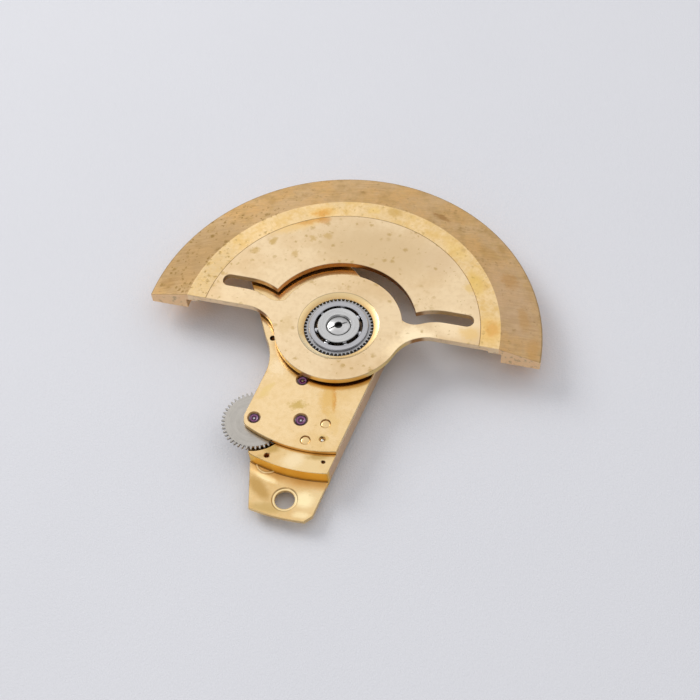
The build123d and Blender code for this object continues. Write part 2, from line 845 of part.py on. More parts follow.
save("rotor_plate", build_rotor_plate())
save("rotor_weight", build_rotor_weight())
save("rotor_gear", build_rotor_gear())
save("bearing_outer_ring", build_outer_ring())
upper_cone, lower_cone = build_cones()
save("bearing_upper_cone", upper_cone)
save("bearing_lower_cone", lower_cone)
save("bearing_balls", build_balls())
save("ball_cage", build_cage())
save("bearing_screw", build_bearing_screw())
save("main_plate", build_main_plate())
save("top_bridge", build_top_bridge())
save("bottom_bridge", build_bottom_bridge())
save("bottom_bridge_screws", build_bottom_screws())
save("bridge_rivets", build_rivets())
save("steady_pin", build_steady_pin())

reversers = (
    ("first_reverser", first_centre, first_phase, first_pinion_phase, False),
    ("second_reverser", second_centre, second_phase, second_pinion_phase, True),
)
for name, centre, wheel_phase, pinion_phase, engaged in reversers:
    save(name + "_wheel", place(build_reverser_wheel(wheel_phase, pinion_phase), centre))
    save(name + "_clicks", [place(click, centre) for click in build_clicks(pinion_phase, engaged)])
    save(name + "_arbor", place(build_reverser_arbor(pinion_phase, pinion_phase), centre))

reduction_wheel, reduction_arbor = build_reduction()
save("reduction_wheel", place(reduction_wheel, reduction_centre))
save("reduction_arbor", place(reduction_arbor, reduction_centre))

for name, centre, size in wheel_places:
    save(name + "_upper_jewel", place(build_jewel(size), centre, upper_jewel_bottom()))
    save(name + "_lower_jewel", place(build_jewel(size, upward=False), centre, lower_jewel_top()))
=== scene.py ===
import math

import bmesh
import bpy
from bpy.props import FloatProperty, FloatVectorProperty, IntProperty, PointerProperty
from mathutils import Matrix, Vector


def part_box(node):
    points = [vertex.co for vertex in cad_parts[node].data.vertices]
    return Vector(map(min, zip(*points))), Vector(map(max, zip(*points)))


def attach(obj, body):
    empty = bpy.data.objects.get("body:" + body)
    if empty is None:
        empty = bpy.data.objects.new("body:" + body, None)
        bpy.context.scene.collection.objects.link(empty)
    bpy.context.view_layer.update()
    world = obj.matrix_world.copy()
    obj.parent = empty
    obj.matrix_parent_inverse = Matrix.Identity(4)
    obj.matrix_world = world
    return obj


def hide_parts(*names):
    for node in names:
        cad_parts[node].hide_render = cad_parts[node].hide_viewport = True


# Looks of an automatic watch rotor on its winding module.
# The frame's pieces give the heights and the wheel centres, and the settings give the main sizes.
# Shapes are worked out in millimetres and angles in degrees; each piece is scaled to metres once.

bl_info = {
    "name": "Automatic watch rotor",
    "version": (1, 0, 0),
    "blender": (4, 5, 0),
    "location": "3D View > Sidebar > Rotor",
    "description": "Builds the visible pieces, finishes and studio of a watch rotor on its winding module",
    "category": "Add Mesh",
}

MM = 0.001
# Two points nearer than this are one, and a smaller radius is on the axis
SAME_POINT = 1e-4
ON_AXIS = 1e-6
# Longest straight piece of a round outline
FACET = 0.2

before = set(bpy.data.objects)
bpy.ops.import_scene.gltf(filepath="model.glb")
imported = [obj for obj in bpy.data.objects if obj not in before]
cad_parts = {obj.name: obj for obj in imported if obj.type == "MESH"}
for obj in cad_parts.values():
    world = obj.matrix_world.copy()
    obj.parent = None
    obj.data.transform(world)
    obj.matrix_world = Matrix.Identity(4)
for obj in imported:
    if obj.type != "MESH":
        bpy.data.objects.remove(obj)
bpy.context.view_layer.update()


def heights(node):
    """Lowest and highest point of a frame piece, in millimetres."""
    low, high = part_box(node)
    return low.z / MM, high.z / MM


def centre_of(node):
    """Middle of a frame piece seen from above, in millimetres."""
    low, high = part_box(node)
    middle = (low + high) / (2 * MM)
    return (middle.x, middle.y)


def in_mm(group, *names):
    """Lengths of a settings group, in millimetres."""
    settings = getattr(bpy.context.scene, group)
    return [getattr(settings, name) / MM for name in names]


def tone_of(name):
    """One of the colours of the finishes."""
    return tuple(getattr(bpy.context.scene.rotor_finishes, name))


# Settings


def length(name, description, millimetres):
    """A length that a user can change."""
    return FloatProperty(
        name=name,
        description=description,
        default=millimetres * MM,
        min=0,
        precision=6,
        unit="LENGTH",
    )


def colour(name, description, red, green, blue):
    """A colour that a user can change."""
    return FloatVectorProperty(
        name=name,
        description=description,
        subtype="COLOR",
        size=3,
        min=0,
        max=1,
        default=(red, green, blue),
    )


class RotorSettings(bpy.types.PropertyGroup):
    """Sizes of the rotor plate and its heavy rim"""

    hub_radius: length("Hub radius", "Round hub of the plate", 4.0)
    hub_fillet: length("Hub fillet", "Curve between the hub and the straight edge", 2.3)
    edge_height: length("Edge", "Distance of the straight edge from the axis", 0.28)
    plate_radius: length("Plate radius", "Seam between the plate and the rim's lip", 8.708)
    lap_radius: length("Lap radius", "Edge of the plate under the rim's lip", 9.268)
    flange_radius: length("Flange radius", "Crease between the flat lip and the sloping band", 9.928)
    rim_inner_radius: length("Rim inner radius", "Inner wall of the heavy rim", 10.098)
    rotor_radius: length("Rotor radius", "Outer wall of the heavy rim", 12.498)
    countersink_radius: length("Countersink radius", "Upper edge of the cone round the bearing", 2.51)
    bore_radius: length("Bore radius", "Hole of the plate for the toothed tube", 2.158)
    slot_inner_radius: length("Slot inner radius", "Inner edge of the arc slot", 3.93)
    slot_outer_radius: length("Slot outer radius", "Outer edge of the arc slot", 4.84)
    edge_break: length("Edge break", "Small bevel on the plate's edges", 0.022)


class ModuleSettings(bpy.types.PropertyGroup):
    """Sizes of the winding module"""

    block_radius: length("Block radius", "End of the block near the tab", 9.908)
    bridge_radius: length("Bridge radius", "End of the polished bridge near the tab", 8.62)
    bridge_far_radius: length("Bridge far radius", "End of the bridge under the rotor", 7.398)
    tab_radius: length("Tab radius", "End of the fixing tab", 12.598)
    opening_radius: length("Opening radius", "Round opening for the rotor's toothed tube", 2.4475)
    screw_hole_radius: length("Screw hole radius", "Fixing holes", 0.6)
    jewel_radius: length("Jewel radius", "Pierced jewels", 0.32)
    rivet_radius: length("Rivet radius", "Rivets of the bridge", 0.3)
    edge_break: length("Edge break", "Polished bevel on the bridge's edges", 0.035)


class TrainSettings(bpy.types.PropertyGroup):
    """Teeth of the winding train"""

    tooth_module: length("Tooth module", "Pitch diameter for each tooth", 0.085)
    rotor_teeth: IntProperty(name="Rotor teeth", description="Teeth of the rotor gear", default=53, min=8)
    wheel_teeth: IntProperty(name="Wheel teeth", description="Teeth of a reverser wheel", default=45, min=8)
    edge_break: length("Edge break", "Small bevel on the teeth", 0.008)


class BearingSettings(bpy.types.PropertyGroup):
    """Sizes of the ball bearing and its screw"""

    ring_radius: length("Ring radius", "Outer race", 1.84)
    ball_circle_radius: length("Ball circle", "Circle on which the balls run", 1.4)
    ball_radius: length("Ball radius", "Bearing balls", 0.22)
    cone_radius: length("Cone radius", "Inner race", 1.3)
    screw_radius: length("Screw radius", "Head of the screw", 0.68)
    screw_hole_radius: length("Screw hole radius", "Hole in the head", 0.24)
    slot_width: length("Slot width", "Driver slot of the screw", 0.11)


class FinishSettings(bpy.types.PropertyGroup):
    """Colours of the metals and the jewels"""

    plate_gold: colour("Plate gold", "Satin gilding of the rotor plate", 0.82, 0.635, 0.395)
    flange_gold: colour("Flange gold", "Yellow gilding of the rim's lip", 0.76, 0.56, 0.30)
    band_gold: colour("Band gold", "Worn gilding of the sloping band", 0.67, 0.485, 0.27)
    bridge_gold: colour("Bridge gold", "Polished gilding of the bridge", 0.88, 0.655, 0.36)
    module_gold: colour("Module gold", "Gilding of the main plate", 0.74, 0.49, 0.21)
    wall_gold: colour("Wall gold", "Milled walls", 0.92, 0.70, 0.45)
    stain: colour("Stain", "Orange stains on the gilding", 0.66, 0.31, 0.06)
    speck: colour("Speck", "Olive specks on the gilding", 0.42, 0.27, 0.08)
    steel: colour("Steel", "Hardened steel", 0.56, 0.555, 0.56)
    wheel_metal: colour("Wheel metal", "Pale metal of the toothed wheel", 0.43, 0.405, 0.365)
    ruby: colour("Ruby", "Pierced jewels", 0.16, 0.02, 0.10)


class StageSettings(bpy.types.PropertyGroup):
    """Floor and light"""

    floor: colour("Floor", "Pale floor", 0.66, 0.663, 0.69)
    floor_gap: length("Floor gap", "Height of the module above the floor", 0.6)
    key_power: FloatProperty(
        name="Key light", description="Power of the soft light above", default=0.15, min=0, unit="POWER")
    fill_power: FloatProperty(
        name="Fill light", description="Power of the low light in front", default=0.04, min=0, unit="POWER")


# Plan geometry


def polar(radius, angle, centre=(0.0, 0.0)):
    """Point at a distance and an angle from a centre."""
    turn = math.radians(angle)
    return (centre[0] + radius * math.cos(turn), centre[1] + radius * math.sin(turn))


def heading(start, end):
    """Angle of the line from one point to another."""
    return math.degrees(math.atan2(end[1] - start[1], end[0] - start[0]))


def run_to_circle(start, direction, radius):
    """Point where a line from start meets a circle about the rotor axis."""
    dx, dy = polar(1, direction)
    along = start[0] * dx + start[1] * dy
    square = start[0] ** 2 + start[1] ** 2 - radius ** 2
    reach = -along + math.sqrt(along ** 2 - square)
    return (start[0] + reach * dx, start[1] + reach * dy)


def arc(centre, radius, first, last):
    """Points along an arc, close enough to look round."""
    step = min(7.5, max(1.0, math.degrees(FACET / radius)))
    count = max(2, math.ceil(abs(last - first) / step))
    return [polar(radius, first + (last - first) * k / count, centre) for k in range(count + 1)]


def circle(centre, radius):
    """Closed ring of points."""
    return arc(centre, radius, 0, 360)[:-1]


def tangent_arc(start, end, way):
    """Arc from start to end that leaves start along a heading, and its heading at the end."""
    dx = end[0] - start[0]
    dy = end[1] - start[1]
    tx, ty = polar(1, way)
    half = math.atan2(dy * tx - dx * ty, dx * tx + dy * ty)
    radius = math.hypot(dx, dy) / (2 * math.sin(half))
    centre = (start[0] - ty * radius, start[1] + tx * radius)
    first = heading(centre, start)
    sweep = math.degrees(2 * half)
    return arc(centre, abs(radius), first, first + sweep), way + sweep


def arc_through(start, middle, end):
    """Arc through three points."""
    ax, ay = start
    bx, by = middle
    cx, cy = end
    scale = 2 * (ax * (by - cy) + bx * (cy - ay) + cx * (ay - by))
    a_square = ax * ax + ay * ay
    b_square = bx * bx + by * by
    c_square = cx * cx + cy * cy
    centre = (
        (a_square * (by - cy) + b_square * (cy - ay) + c_square * (ay - by)) / scale,
        (a_square * (cx - bx) + b_square * (ax - cx) + c_square * (bx - ax)) / scale,
    )
    first = heading(centre, start)
    sweep = (heading(centre, end) - first) % 360
    if (heading(centre, middle) - first) % 360 > sweep:
        sweep -= 360
    return arc(centre, math.dist(centre, start), first, first + sweep)


def joined(*runs):
    """One closed loop from runs of points, without repeated points."""
    loop = []
    for run in runs:
        for point in run:
            if not loop or math.dist(point, loop[-1]) > SAME_POINT:
                loop.append(point)
    if math.dist(loop[0], loop[-1]) < SAME_POINT:
        loop.pop()
    return loop


def mirrored(run):
    """The run seen in the plane between left and right, from its end to its start."""
    return [(-x, y) for x, y in reversed(run)]


def wound(loop, left_turn):
    """The loop with the material on its left side: an outline turns left, a hole right."""
    area = sum(a[0] * b[1] - b[0] * a[1] for a, b in zip(loop, loop[1:] + loop[:1]))
    return loop if (area > 0) == left_turn else loop[::-1]


def inset(loop, distance):
    """The loop moved into the material by a distance."""
    moved = []
    count = len(loop)
    for index, (x, y) in enumerate(loop):
        before = loop[index - 1]
        after = loop[(index + 1) % count]
        first = Vector((before[1] - y, x - before[0])).normalized()
        second = Vector((y - after[1], after[0] - x)).normalized()
        share = max(0.35, 1 + first.dot(second))
        shift = (first + second) * (distance / share)
        moved.append((x + shift.x, y + shift.y))
    return moved


# Places and sizes that several pieces share

FIRST_CENTRE = centre_of("first_reverser_upper_jewel")
SECOND_CENTRE = centre_of("second_reverser_upper_jewel")
REDUCTION_CENTRE = centre_of("reduction_upper_jewel")
# Name, centre and size of each pair of jewels
JEWELS = (
    ("first_reverser", FIRST_CENTRE, 1),
    ("second_reverser", SECOND_CENTRE, 1),
    ("reduction", REDUCTION_CENTRE, 1.12),
)
RIVET_CENTRES = [polar(6.72, -82.3), polar(8.0, -89.9)]
BOSS_CENTRE = polar(9.538, -102.1)
TAB_HOLE_CENTRE = polar(11.418, -92.0)
FAR_HOLE_CENTRE = polar(8.698, 130.0)
BOTTOM_SCREW_CENTRES = [polar(9.448, -94.0), polar(3.5775, -69.5), polar(3.7875, -146.3)]
BLOCK_CORNER_ANGLE = -108.3
LIP_DEPTH = 0.2


# Mesh building, in millimetres


def row(bm, loop, height):
    """Vertices of a loop at one height."""
    return [bm.verts.new((x, y, height)) for x, y in loop]


def skin(bm, rows):
    """Walls between rows of equal length."""
    for low, high in zip(rows, rows[1:]):
        for index in range(len(low)):
            following = (index + 1) % len(low)
            bm.faces.new((low[index], low[following], high[following], high[index]))


def cap(bm, rows):
    """Flat face inside the first row, with the other rows as its holes."""
    edges = []
    for ring in rows:
        for index, vertex in enumerate(ring):
            pair = (vertex, ring[(index + 1) % len(ring)])
            edges.append(bm.edges.get(pair) or bm.edges.new(pair))
    bmesh.ops.triangle_fill(bm, use_beauty=True, use_dissolve=False, edges=edges, normal=(0, 0, 1))


def prism(bm, outline, bottom, top, edge_break, holes=(), bores=()):
    """Plate with beveled edges; holes are loops, bores are (centre, steps from top to bottom)."""
    low_rings = []
    high_rings = []
    for number, loop in enumerate([outline, *holes]):
        loop = wound(loop, number == 0)
        inner = inset(loop, edge_break)
        rows = [
            row(bm, inner, bottom),
            row(bm, loop, bottom + edge_break),
            row(bm, loop, top - edge_break),
            row(bm, inner, top),
        ]
        skin(bm, rows)
        low_rings.append(rows[0])
        high_rings.append(rows[-1])
    for centre, steps in bores:
        count = max(48, min(180, int(60 * max(radius for radius, _ in steps))))
        rows = [
            row(bm, [polar(radius, 360 * k / count, centre) for k in range(count)], height)
            for radius, height in steps
        ]
        skin(bm, rows)
        high_rings.append(rows[0])
        low_rings.append(rows[-1])
    cap(bm, low_rings)
    cap(bm, high_rings)


def bore_steps(radius, bottom, top, edge_break, sink=None):
    """Steps of a round hole with broken edges; sink is the radius and depth of a counterbore."""
    steps = []
    if sink:
        sink_radius, depth = sink
        steps = [(sink_radius + edge_break, top), (sink_radius, top - edge_break)]
        top -= depth
        steps.append((sink_radius, top))
    steps += [(radius + edge_break, top), (radius, top - edge_break)]
    return steps + [(radius, bottom + edge_break), (radius + edge_break, bottom)]


def turn(bm, profile, centre=(0.0, 0.0), closed=True):
    """Turned surface from (radius, height) points; a point on the axis closes it there."""
    widest = max(radius for radius, _ in profile)
    count = max(48, min(360, math.ceil(2 * math.pi * widest / FACET)))
    rings = []
    for radius, height in profile:
        if radius < ON_AXIS:
            rings.append([bm.verts.new((centre[0], centre[1], height))])
        else:
            points = [polar(radius, 360 * k / count, centre) for k in range(count)]
            rings.append(row(bm, points, height))
    pairs = list(zip(rings, rings[1:]))
    if closed:
        pairs.append((rings[-1], rings[0]))
    for low, high in pairs:
        for index in range(count):
            following = (index + 1) % count
            corners = [low[index % len(low)], low[following % len(low)]]
            corners += [high[following % len(high)], high[index % len(high)]]
            face = list(dict.fromkeys(corners))
            if len(face) > 2:
                bm.faces.new(face)


def profile_arc(centre, radius, first, last, count=12):
    """Part of a turned profile along an arc."""
    return [polar(radius, first + (last - first) * k / count, centre) for k in range(count + 1)]


def blank(bm):
    """Temporary object for cutting work."""
    bmesh.ops.recalc_face_normals(bm, faces=bm.faces)
    mesh = bpy.data.meshes.new("blank")
    bm.to_mesh(mesh)
    bm.free()
    piece = bpy.data.objects.new("blank", mesh)
    bpy.context.scene.collection.objects.link(piece)
    return piece


def solid(build, *arguments, **options):
    """Temporary object built by one of the functions above."""
    bm = bmesh.new()
    build(bm, *arguments, **options)
    return blank(bm)


def cut(piece, tools, operation="DIFFERENCE"):
    """The piece cut by, or joined with, the tools, which are used up."""
    shelf = bpy.data.collections.new("tools")
    bpy.context.scene.collection.children.link(shelf)
    for tool in tools:
        shelf.objects.link(tool)
    work = piece.modifiers.new("cut", "BOOLEAN")
    work.operation = operation
    work.operand_type = "COLLECTION"
    work.collection = shelf
    work.solver = "EXACT"
    work.use_self = True
    shaped = bpy.data.meshes.new_from_object(piece.evaluated_get(bpy.context.evaluated_depsgraph_get()))
    piece.modifiers.clear()
    piece.data = shaped
    for tool in tools:
        bpy.data.objects.remove(tool)
    bpy.data.collections.remove(shelf)
    return piece


def dress(mesh, finish, smooth_angle):
    """Scale a mesh to metres, smooth its gentle edges and give it its material."""
    mesh.transform(Matrix.Scale(MM, 4))
    mesh.shade_smooth()
    mesh.set_sharp_from_angle(angle=math.radians(smooth_angle))
    mesh.materials.clear()
    mesh.materials.append(finish)


def keep(name, piece, body, finish, nodes, smooth_angle=12):
    """Turn a blank into a finished piece that stands for frame nodes."""
    piece.name = name
    piece.data.name = name
    dress(piece.data, finish, smooth_angle)
    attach(piece, body)
    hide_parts(*nodes)


def refinish(finish, *nodes):
    """Give frame pieces that stay a better material."""
    for name in nodes:
        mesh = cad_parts[name].data
        mesh.materials.clear()
        mesh.materials.append(finish)


# Shader building


def feed(tree, node, feeds):
    """Set or link the inputs of a node."""
    for socket, value in feeds.items():
        if isinstance(value, bpy.types.NodeSocket):
            tree.links.new(value, node.inputs[socket])
        elif node.inputs[socket].type == "RGBA":
            node.inputs[socket].default_value = (*value[:3], 1)
        else:
            node.inputs[socket].default_value = value


def lay(tree, kind, feeds=None, **settings):
    """Place one node; feeds gives each input a value or the socket that drives it."""
    node = tree.nodes.new("ShaderNode" + kind)
    for name, value in settings.items():
        setattr(node, name, value)
    feed(tree, node, feeds or {})
    return node


def maths(tree, operation, first, second=0.0):
    """Result of one calculation."""
    return lay(tree, "Math", {0: first, 1: second}, operation=operation).outputs[0]


def times(tree, first, second):
    """Product of two numbers."""
    return maths(tree, "MULTIPLY", first, second)


def vector_maths(tree, operation, feeds):
    """Result of one vector calculation."""
    node = lay(tree, "VectorMath", feeds, operation=operation)
    return node.outputs["Value" if operation in ("LENGTH", "DOT_PRODUCT") else "Vector"]


def turned_by(tree, vector, angle):
    """A vector turned about the upright axis."""
    feeds = {"Vector": vector, "Angle": angle}
    return lay(tree, "VectorRotate", feeds, rotation_type="Z_AXIS").outputs[0]


def parts_of(tree, vector):
    """The three numbers of a vector."""
    return lay(tree, "SeparateXYZ", {0: vector}).outputs


def rise(tree, value, low, high):
    """Smooth step from 0 to 1 between two values."""
    feeds = {"Value": value, "From Min": low, "From Max": high}
    return lay(tree, "MapRange", feeds, interpolation_type="SMOOTHSTEP").outputs["Result"]


def spread(tree, mask, low, high):
    """Number that goes from low to high as a mask goes from 0 to 1."""
    feeds = {"Value": mask, "To Min": low, "To Max": high}
    return lay(tree, "MapRange", feeds, clamp=False).outputs["Result"]


def tint(tree, share, tone, other):
    """A tone with another laid over it where the share says."""
    node = lay(tree, "Mix", data_type="RGBA")
    feed(tree, node, {0: share, 6: tone, 7: other})
    return node.outputs[2]


def wash(tree, mask, strength, tone, other):
    """A tone with another laid over it by a part of a mask."""
    return tint(tree, times(tree, mask, strength), tone, other)


def shade(base, factor):
    """A darker or lighter version of a colour."""
    return tuple(min(1.0, part * factor) for part in base)


# Shader groups


def start_group(name, inputs, outputs):
    """New shader group; a tuple or the name Place stands for a vector, all else is a number."""
    tree = bpy.data.node_groups.new(name, "ShaderNodeTree")
    for label, value in inputs.items():
        kind = "NodeSocketVector" if isinstance(value, tuple) else "NodeSocketFloat"
        socket = tree.interface.new_socket(name=label, in_out="INPUT", socket_type=kind)
        socket.default_value = value
    for label in outputs:
        kind = "NodeSocketVector" if label == "Place" else "NodeSocketFloat"
        tree.interface.new_socket(name=label, in_out="OUTPUT", socket_type=kind)
    return tree, tree.nodes.new("NodeGroupInput").outputs, tree.nodes.new("NodeGroupOutput")


def close_group(tree, ends, **results):
    """Link the results of a group to its outputs."""
    feed(tree, ends, results)
    return tree


def use_group(tree, name, feeds=None):
    """Outputs of a shader group placed in a material."""
    group = bpy.data.node_groups.get(name) or GROUP_MAKERS[name](name)
    node = tree.nodes.new("ShaderNodeGroup")
    node.node_tree = group
    feed(tree, node, feeds or {})
    return node.outputs


def flattened(tree, place):
    """A place moved down to height zero, its distance from the axis, and its old height."""
    apart = parts_of(tree, place)
    flat = lay(tree, "CombineXYZ", {0: apart[0], 1: apart[1]}).outputs[0]
    return flat, vector_maths(tree, "LENGTH", {0: flat}), apart[2]


def make_place_group(name):
    """Place in millimetres, distance from the axis, and masks of walls and undersides."""
    tree, _, ends = start_group(name, {}, ["Place", "Radius", "Wall", "Under"])
    place = vector_maths(tree, "SCALE", {0: lay(tree, "TexCoord").outputs["Object"], "Scale": 1 / MM})
    radius = flattened(tree, place)[1]
    facing = parts_of(tree, lay(tree, "NewGeometry").outputs["Normal"])[2]
    wall = rise(tree, maths(tree, "ABSOLUTE", facing), 0.5, 0.2)
    under = rise(tree, facing, -0.4, -0.7)
    return close_group(tree, ends, Place=place, Radius=radius, Wall=wall, Under=under)


def make_cloud_group(name):
    """Soft patches of uneven colour."""
    inputs = {"Place": (0, 0, 0), "Scale": 1.0, "Low": 0.4, "High": 0.6}
    tree, given, ends = start_group(name, inputs, ["Mask"])
    feeds = {"Vector": given["Place"], "Scale": given["Scale"], "Detail": 4.0, "Roughness": 0.6}
    noise = lay(tree, "TexNoise", feeds).outputs["Fac"]
    return close_group(tree, ends, Mask=rise(tree, noise, given["Low"], given["High"]))


def make_speck_group(name):
    """Small uneven specks that stand in patches."""
    inputs = {"Place": (0, 0, 0), "Scale": 2.0, "Size": 0.25, "Share": 0.4, "Patch": 0.5}
    tree, given, ends = start_group(name, inputs, ["Mask"])
    ragged = lay(tree, "TexNoise", {"Vector": given["Place"], "Scale": 6.0, "Detail": 3.0}).outputs["Color"]
    shift = vector_maths(tree, "SCALE", {0: ragged, "Scale": 0.34})
    place = vector_maths(tree, "ADD", {0: given["Place"], 1: shift})
    cell = lay(tree, "TexVoronoi", {"Vector": place, "Scale": given["Scale"]})
    chance = lay(tree, "SeparateColor", {0: cell.outputs["Color"]}).outputs
    size = times(tree, given["Size"], maths(tree, "ADD", chance[1], 0.35))
    spot = rise(tree, cell.outputs["Distance"], size, times(tree, size, 0.15))
    kept = maths(tree, "LESS_THAN", chance[0], given["Share"])
    patch = lay(tree, "TexNoise", {"Vector": given["Place"], "Scale": given["Patch"], "Detail": 1.0})
    stand = rise(tree, patch.outputs["Fac"], 0.38, 0.52)
    return close_group(tree, ends, Mask=times(tree, times(tree, spot, kept), stand))


def make_ring_grain_group(name):
    """Fine lines round the axis, as a lathe or a turning brush leaves them."""
    inputs = {"Place": (0, 0, 0), "Lines": 20.0, "Breaks": 3.0}
    tree, given, ends = start_group(name, inputs, ["Grain"])
    flat, radius, level = flattened(tree, given["Place"])
    way = vector_maths(tree, "NORMALIZE", {0: flat})
    across = parts_of(tree, vector_maths(tree, "SCALE", {0: way, "Scale": given["Breaks"]}))
    depth = times(tree, maths(tree, "ADD", radius, level), given["Lines"])
    stretched = lay(tree, "CombineXYZ", {0: across[0], 1: across[1], 2: depth}).outputs[0]
    noise = lay(tree, "TexNoise", {"Vector": stretched, "Scale": 1.0, "Detail": 3.0, "Roughness": 0.65})
    return close_group(tree, ends, Grain=noise.outputs["Fac"])


def make_line_grain_group(name):
    """Fine straight lines along one heading."""
    inputs = {"Place": (0, 0, 0), "Turn": 0.0, "Lines": 18.0, "Breaks": 0.7}
    tree, given, ends = start_group(name, inputs, ["Grain"])
    apart = parts_of(tree, turned_by(tree, given["Place"], given["Turn"]))
    along = times(tree, apart[0], given["Breaks"])
    across = times(tree, apart[1], given["Lines"])
    stretched = lay(tree, "CombineXYZ", {0: along, 1: across, 2: apart[2]}).outputs[0]
    noise = lay(tree, "TexNoise", {"Vector": stretched, "Scale": 1.0, "Detail": 3.0, "Roughness": 0.6})
    return close_group(tree, ends, Grain=noise.outputs["Fac"])


def make_stain_group(name):
    """One soft-edged patch at a place, for stains and for painted highlights and shade."""
    inputs = {"Place": (0, 0, 0), "Centre": (0, 0, 0), "Size": (1, 1, 1), "Turn": 0.0, "Ragged": 2.2}
    tree, given, ends = start_group(name, inputs, ["Mask"])
    offset = vector_maths(tree, "SUBTRACT", {0: given["Place"], 1: given["Centre"]})
    turned = turned_by(tree, offset, given["Turn"])
    scaled = vector_maths(tree, "DIVIDE", {0: turned, 1: given["Size"]})
    distance = vector_maths(tree, "LENGTH", {0: scaled})
    feeds = {"Vector": given["Place"], "Scale": 2.6, "Detail": 5.0, "Roughness": 0.75}
    noise = lay(tree, "TexNoise", feeds).outputs["Fac"]
    wave = times(tree, maths(tree, "SUBTRACT", noise, 0.5), given["Ragged"])
    return close_group(tree, ends, Mask=rise(tree, maths(tree, "ADD", distance, wave), 1.0, 0.3))


def make_from_centre_group(name):
    """Distance from an upright axis through a centre."""
    tree, given, ends = start_group(name, {"Place": (0, 0, 0), "Centre": (0, 0, 0)}, ["Radius"])
    offset = vector_maths(tree, "SUBTRACT", {0: given["Place"], 1: given["Centre"]})
    flat = vector_maths(tree, "MULTIPLY", {0: offset, 1: (1, 1, 0)})
    return close_group(tree, ends, Radius=vector_maths(tree, "LENGTH", {0: flat}))


def make_seam_group(name):
    """Thin line round the axis at one radius."""
    inputs = {"Radius": 0.0, "Seam": 1.0, "Width": 0.02}
    tree, given, ends = start_group(name, inputs, ["Mask"])
    away = maths(tree, "ABSOLUTE", maths(tree, "SUBTRACT", given["Radius"], given["Seam"]))
    return close_group(tree, ends, Mask=rise(tree, away, given["Width"], 0.0))


GROUP_MAKERS = {
    "Part place": make_place_group,
    "Clouds": make_cloud_group,
    "Specks": make_speck_group,
    "Ring grain": make_ring_grain_group,
    "Line grain": make_line_grain_group,
    "Stain": make_stain_group,
    "From centre": make_from_centre_group,
    "Seam": make_seam_group,
}


def clouds(tree, place, scale, low, high):
    """Mask of soft patches; low and high are where the noise starts and ends to show."""
    return use_group(tree, "Clouds", {"Place": place, "Scale": scale, "Low": low, "High": high})["Mask"]


def specks(tree, place, scale, size, share, patch):
    """Mask of specks: how many to a millimetre, how wide, which share of them, and in which patches."""
    feeds = {"Place": place, "Scale": scale, "Size": size, "Share": share, "Patch": patch}
    return use_group(tree, "Specks", feeds)["Mask"]


def grain_of(tree, place, kind, lines, breaks, turned=0):
    """Height of the grain; lines is how many to a millimetre, breaks how often a line changes."""
    feeds = {"Place": place, "Lines": lines, "Breaks": breaks}
    if kind == "Line grain":
        feeds["Turn"] = math.radians(-turned)
    return use_group(tree, kind, feeds)["Grain"]


def seam_at(tree, radius, middle, width):
    """Mask of a thin ring."""
    return use_group(tree, "Seam", {"Radius": radius, "Seam": middle, "Width": width})["Mask"]


def distance_from(tree, place, centre):
    """Distance from an upright axis through a plan point."""
    return use_group(tree, "From centre", {"Place": place, "Centre": (*centre, 0.0)})["Radius"]


def add_stains_and_painted_light(tree, place, tone, stains, ragged=1.6):
    """Lay stains, painted highlights and painted shade over a colour; each is centre, size, turn, colour and
    strength.
    """
    for centre, size, turned, stain, strength in stains:
        feeds = {
            "Place": place,
            "Centre": (*centre, 0.0),
            "Size": (*size, 50.0),
            "Turn": math.radians(-turned),
            "Ragged": min(2.2, ragged / math.sqrt(size[0] * size[1])),
        }
        tone = wash(tree, use_group(tree, "Stain", feeds)["Mask"], strength, tone, stain)
    return tone


def add_rings(tree, place, tone, rings):
    """Lay thin rings over a colour; each is centre, radius, width, colour, strength and a height limit."""
    level = parts_of(tree, place)[2]
    for centre, radius, width, ring, strength, highest in rings:
        mask = seam_at(tree, distance_from(tree, place, centre), radius, width)
        if highest:
            mask = times(tree, mask, maths(tree, "LESS_THAN", level, highest))
        tone = wash(tree, mask, strength, tone, ring)
    return tone


# Finishes; all places and sizes in them are millimetres on the part


def start_finish(name):
    """New material with its surface shader, its tree and the part's place in it."""
    finish = bpy.data.materials.new(name)
    finish.use_nodes = True
    tree = finish.node_tree
    return finish, tree, tree.nodes["Principled BSDF"], use_group(tree, "Part place")


def close_finish(tree, shader, tone, roughness, height, depth):
    """Feed colour, roughness and relief to the surface shader; depth is in millimetres."""
    bump = lay(tree, "Bump", {"Height": height, "Distance": depth * MM, "Strength": 1.0})
    feed(tree, shader, {"Base Color": tone, "Roughness": roughness, "Normal": bump.outputs[0]})


# Undersides keep a deeper gilding, which also tints the light under the rotor
UNDER_GOLD = (1.0, 0.66, 0.18)
# Pale gold of the painted sheen on the plate and the bridge, where polished gilding shows brighter
PAINTED_SHEEN_GOLD = (0.96, 0.77, 0.50)
SEAM_BROWN = (0.25, 0.13, 0.04)
# Near black of the painted shade inside holes
PAINTED_HOLE_SHADE = (0.035, 0.012, 0.006)
# Heading of the satin brushing on the rotor
BRUSH_TURN = 12
# A radius beyond the whole part, for bands that go on to the edge
EVERYWHERE = 20.0


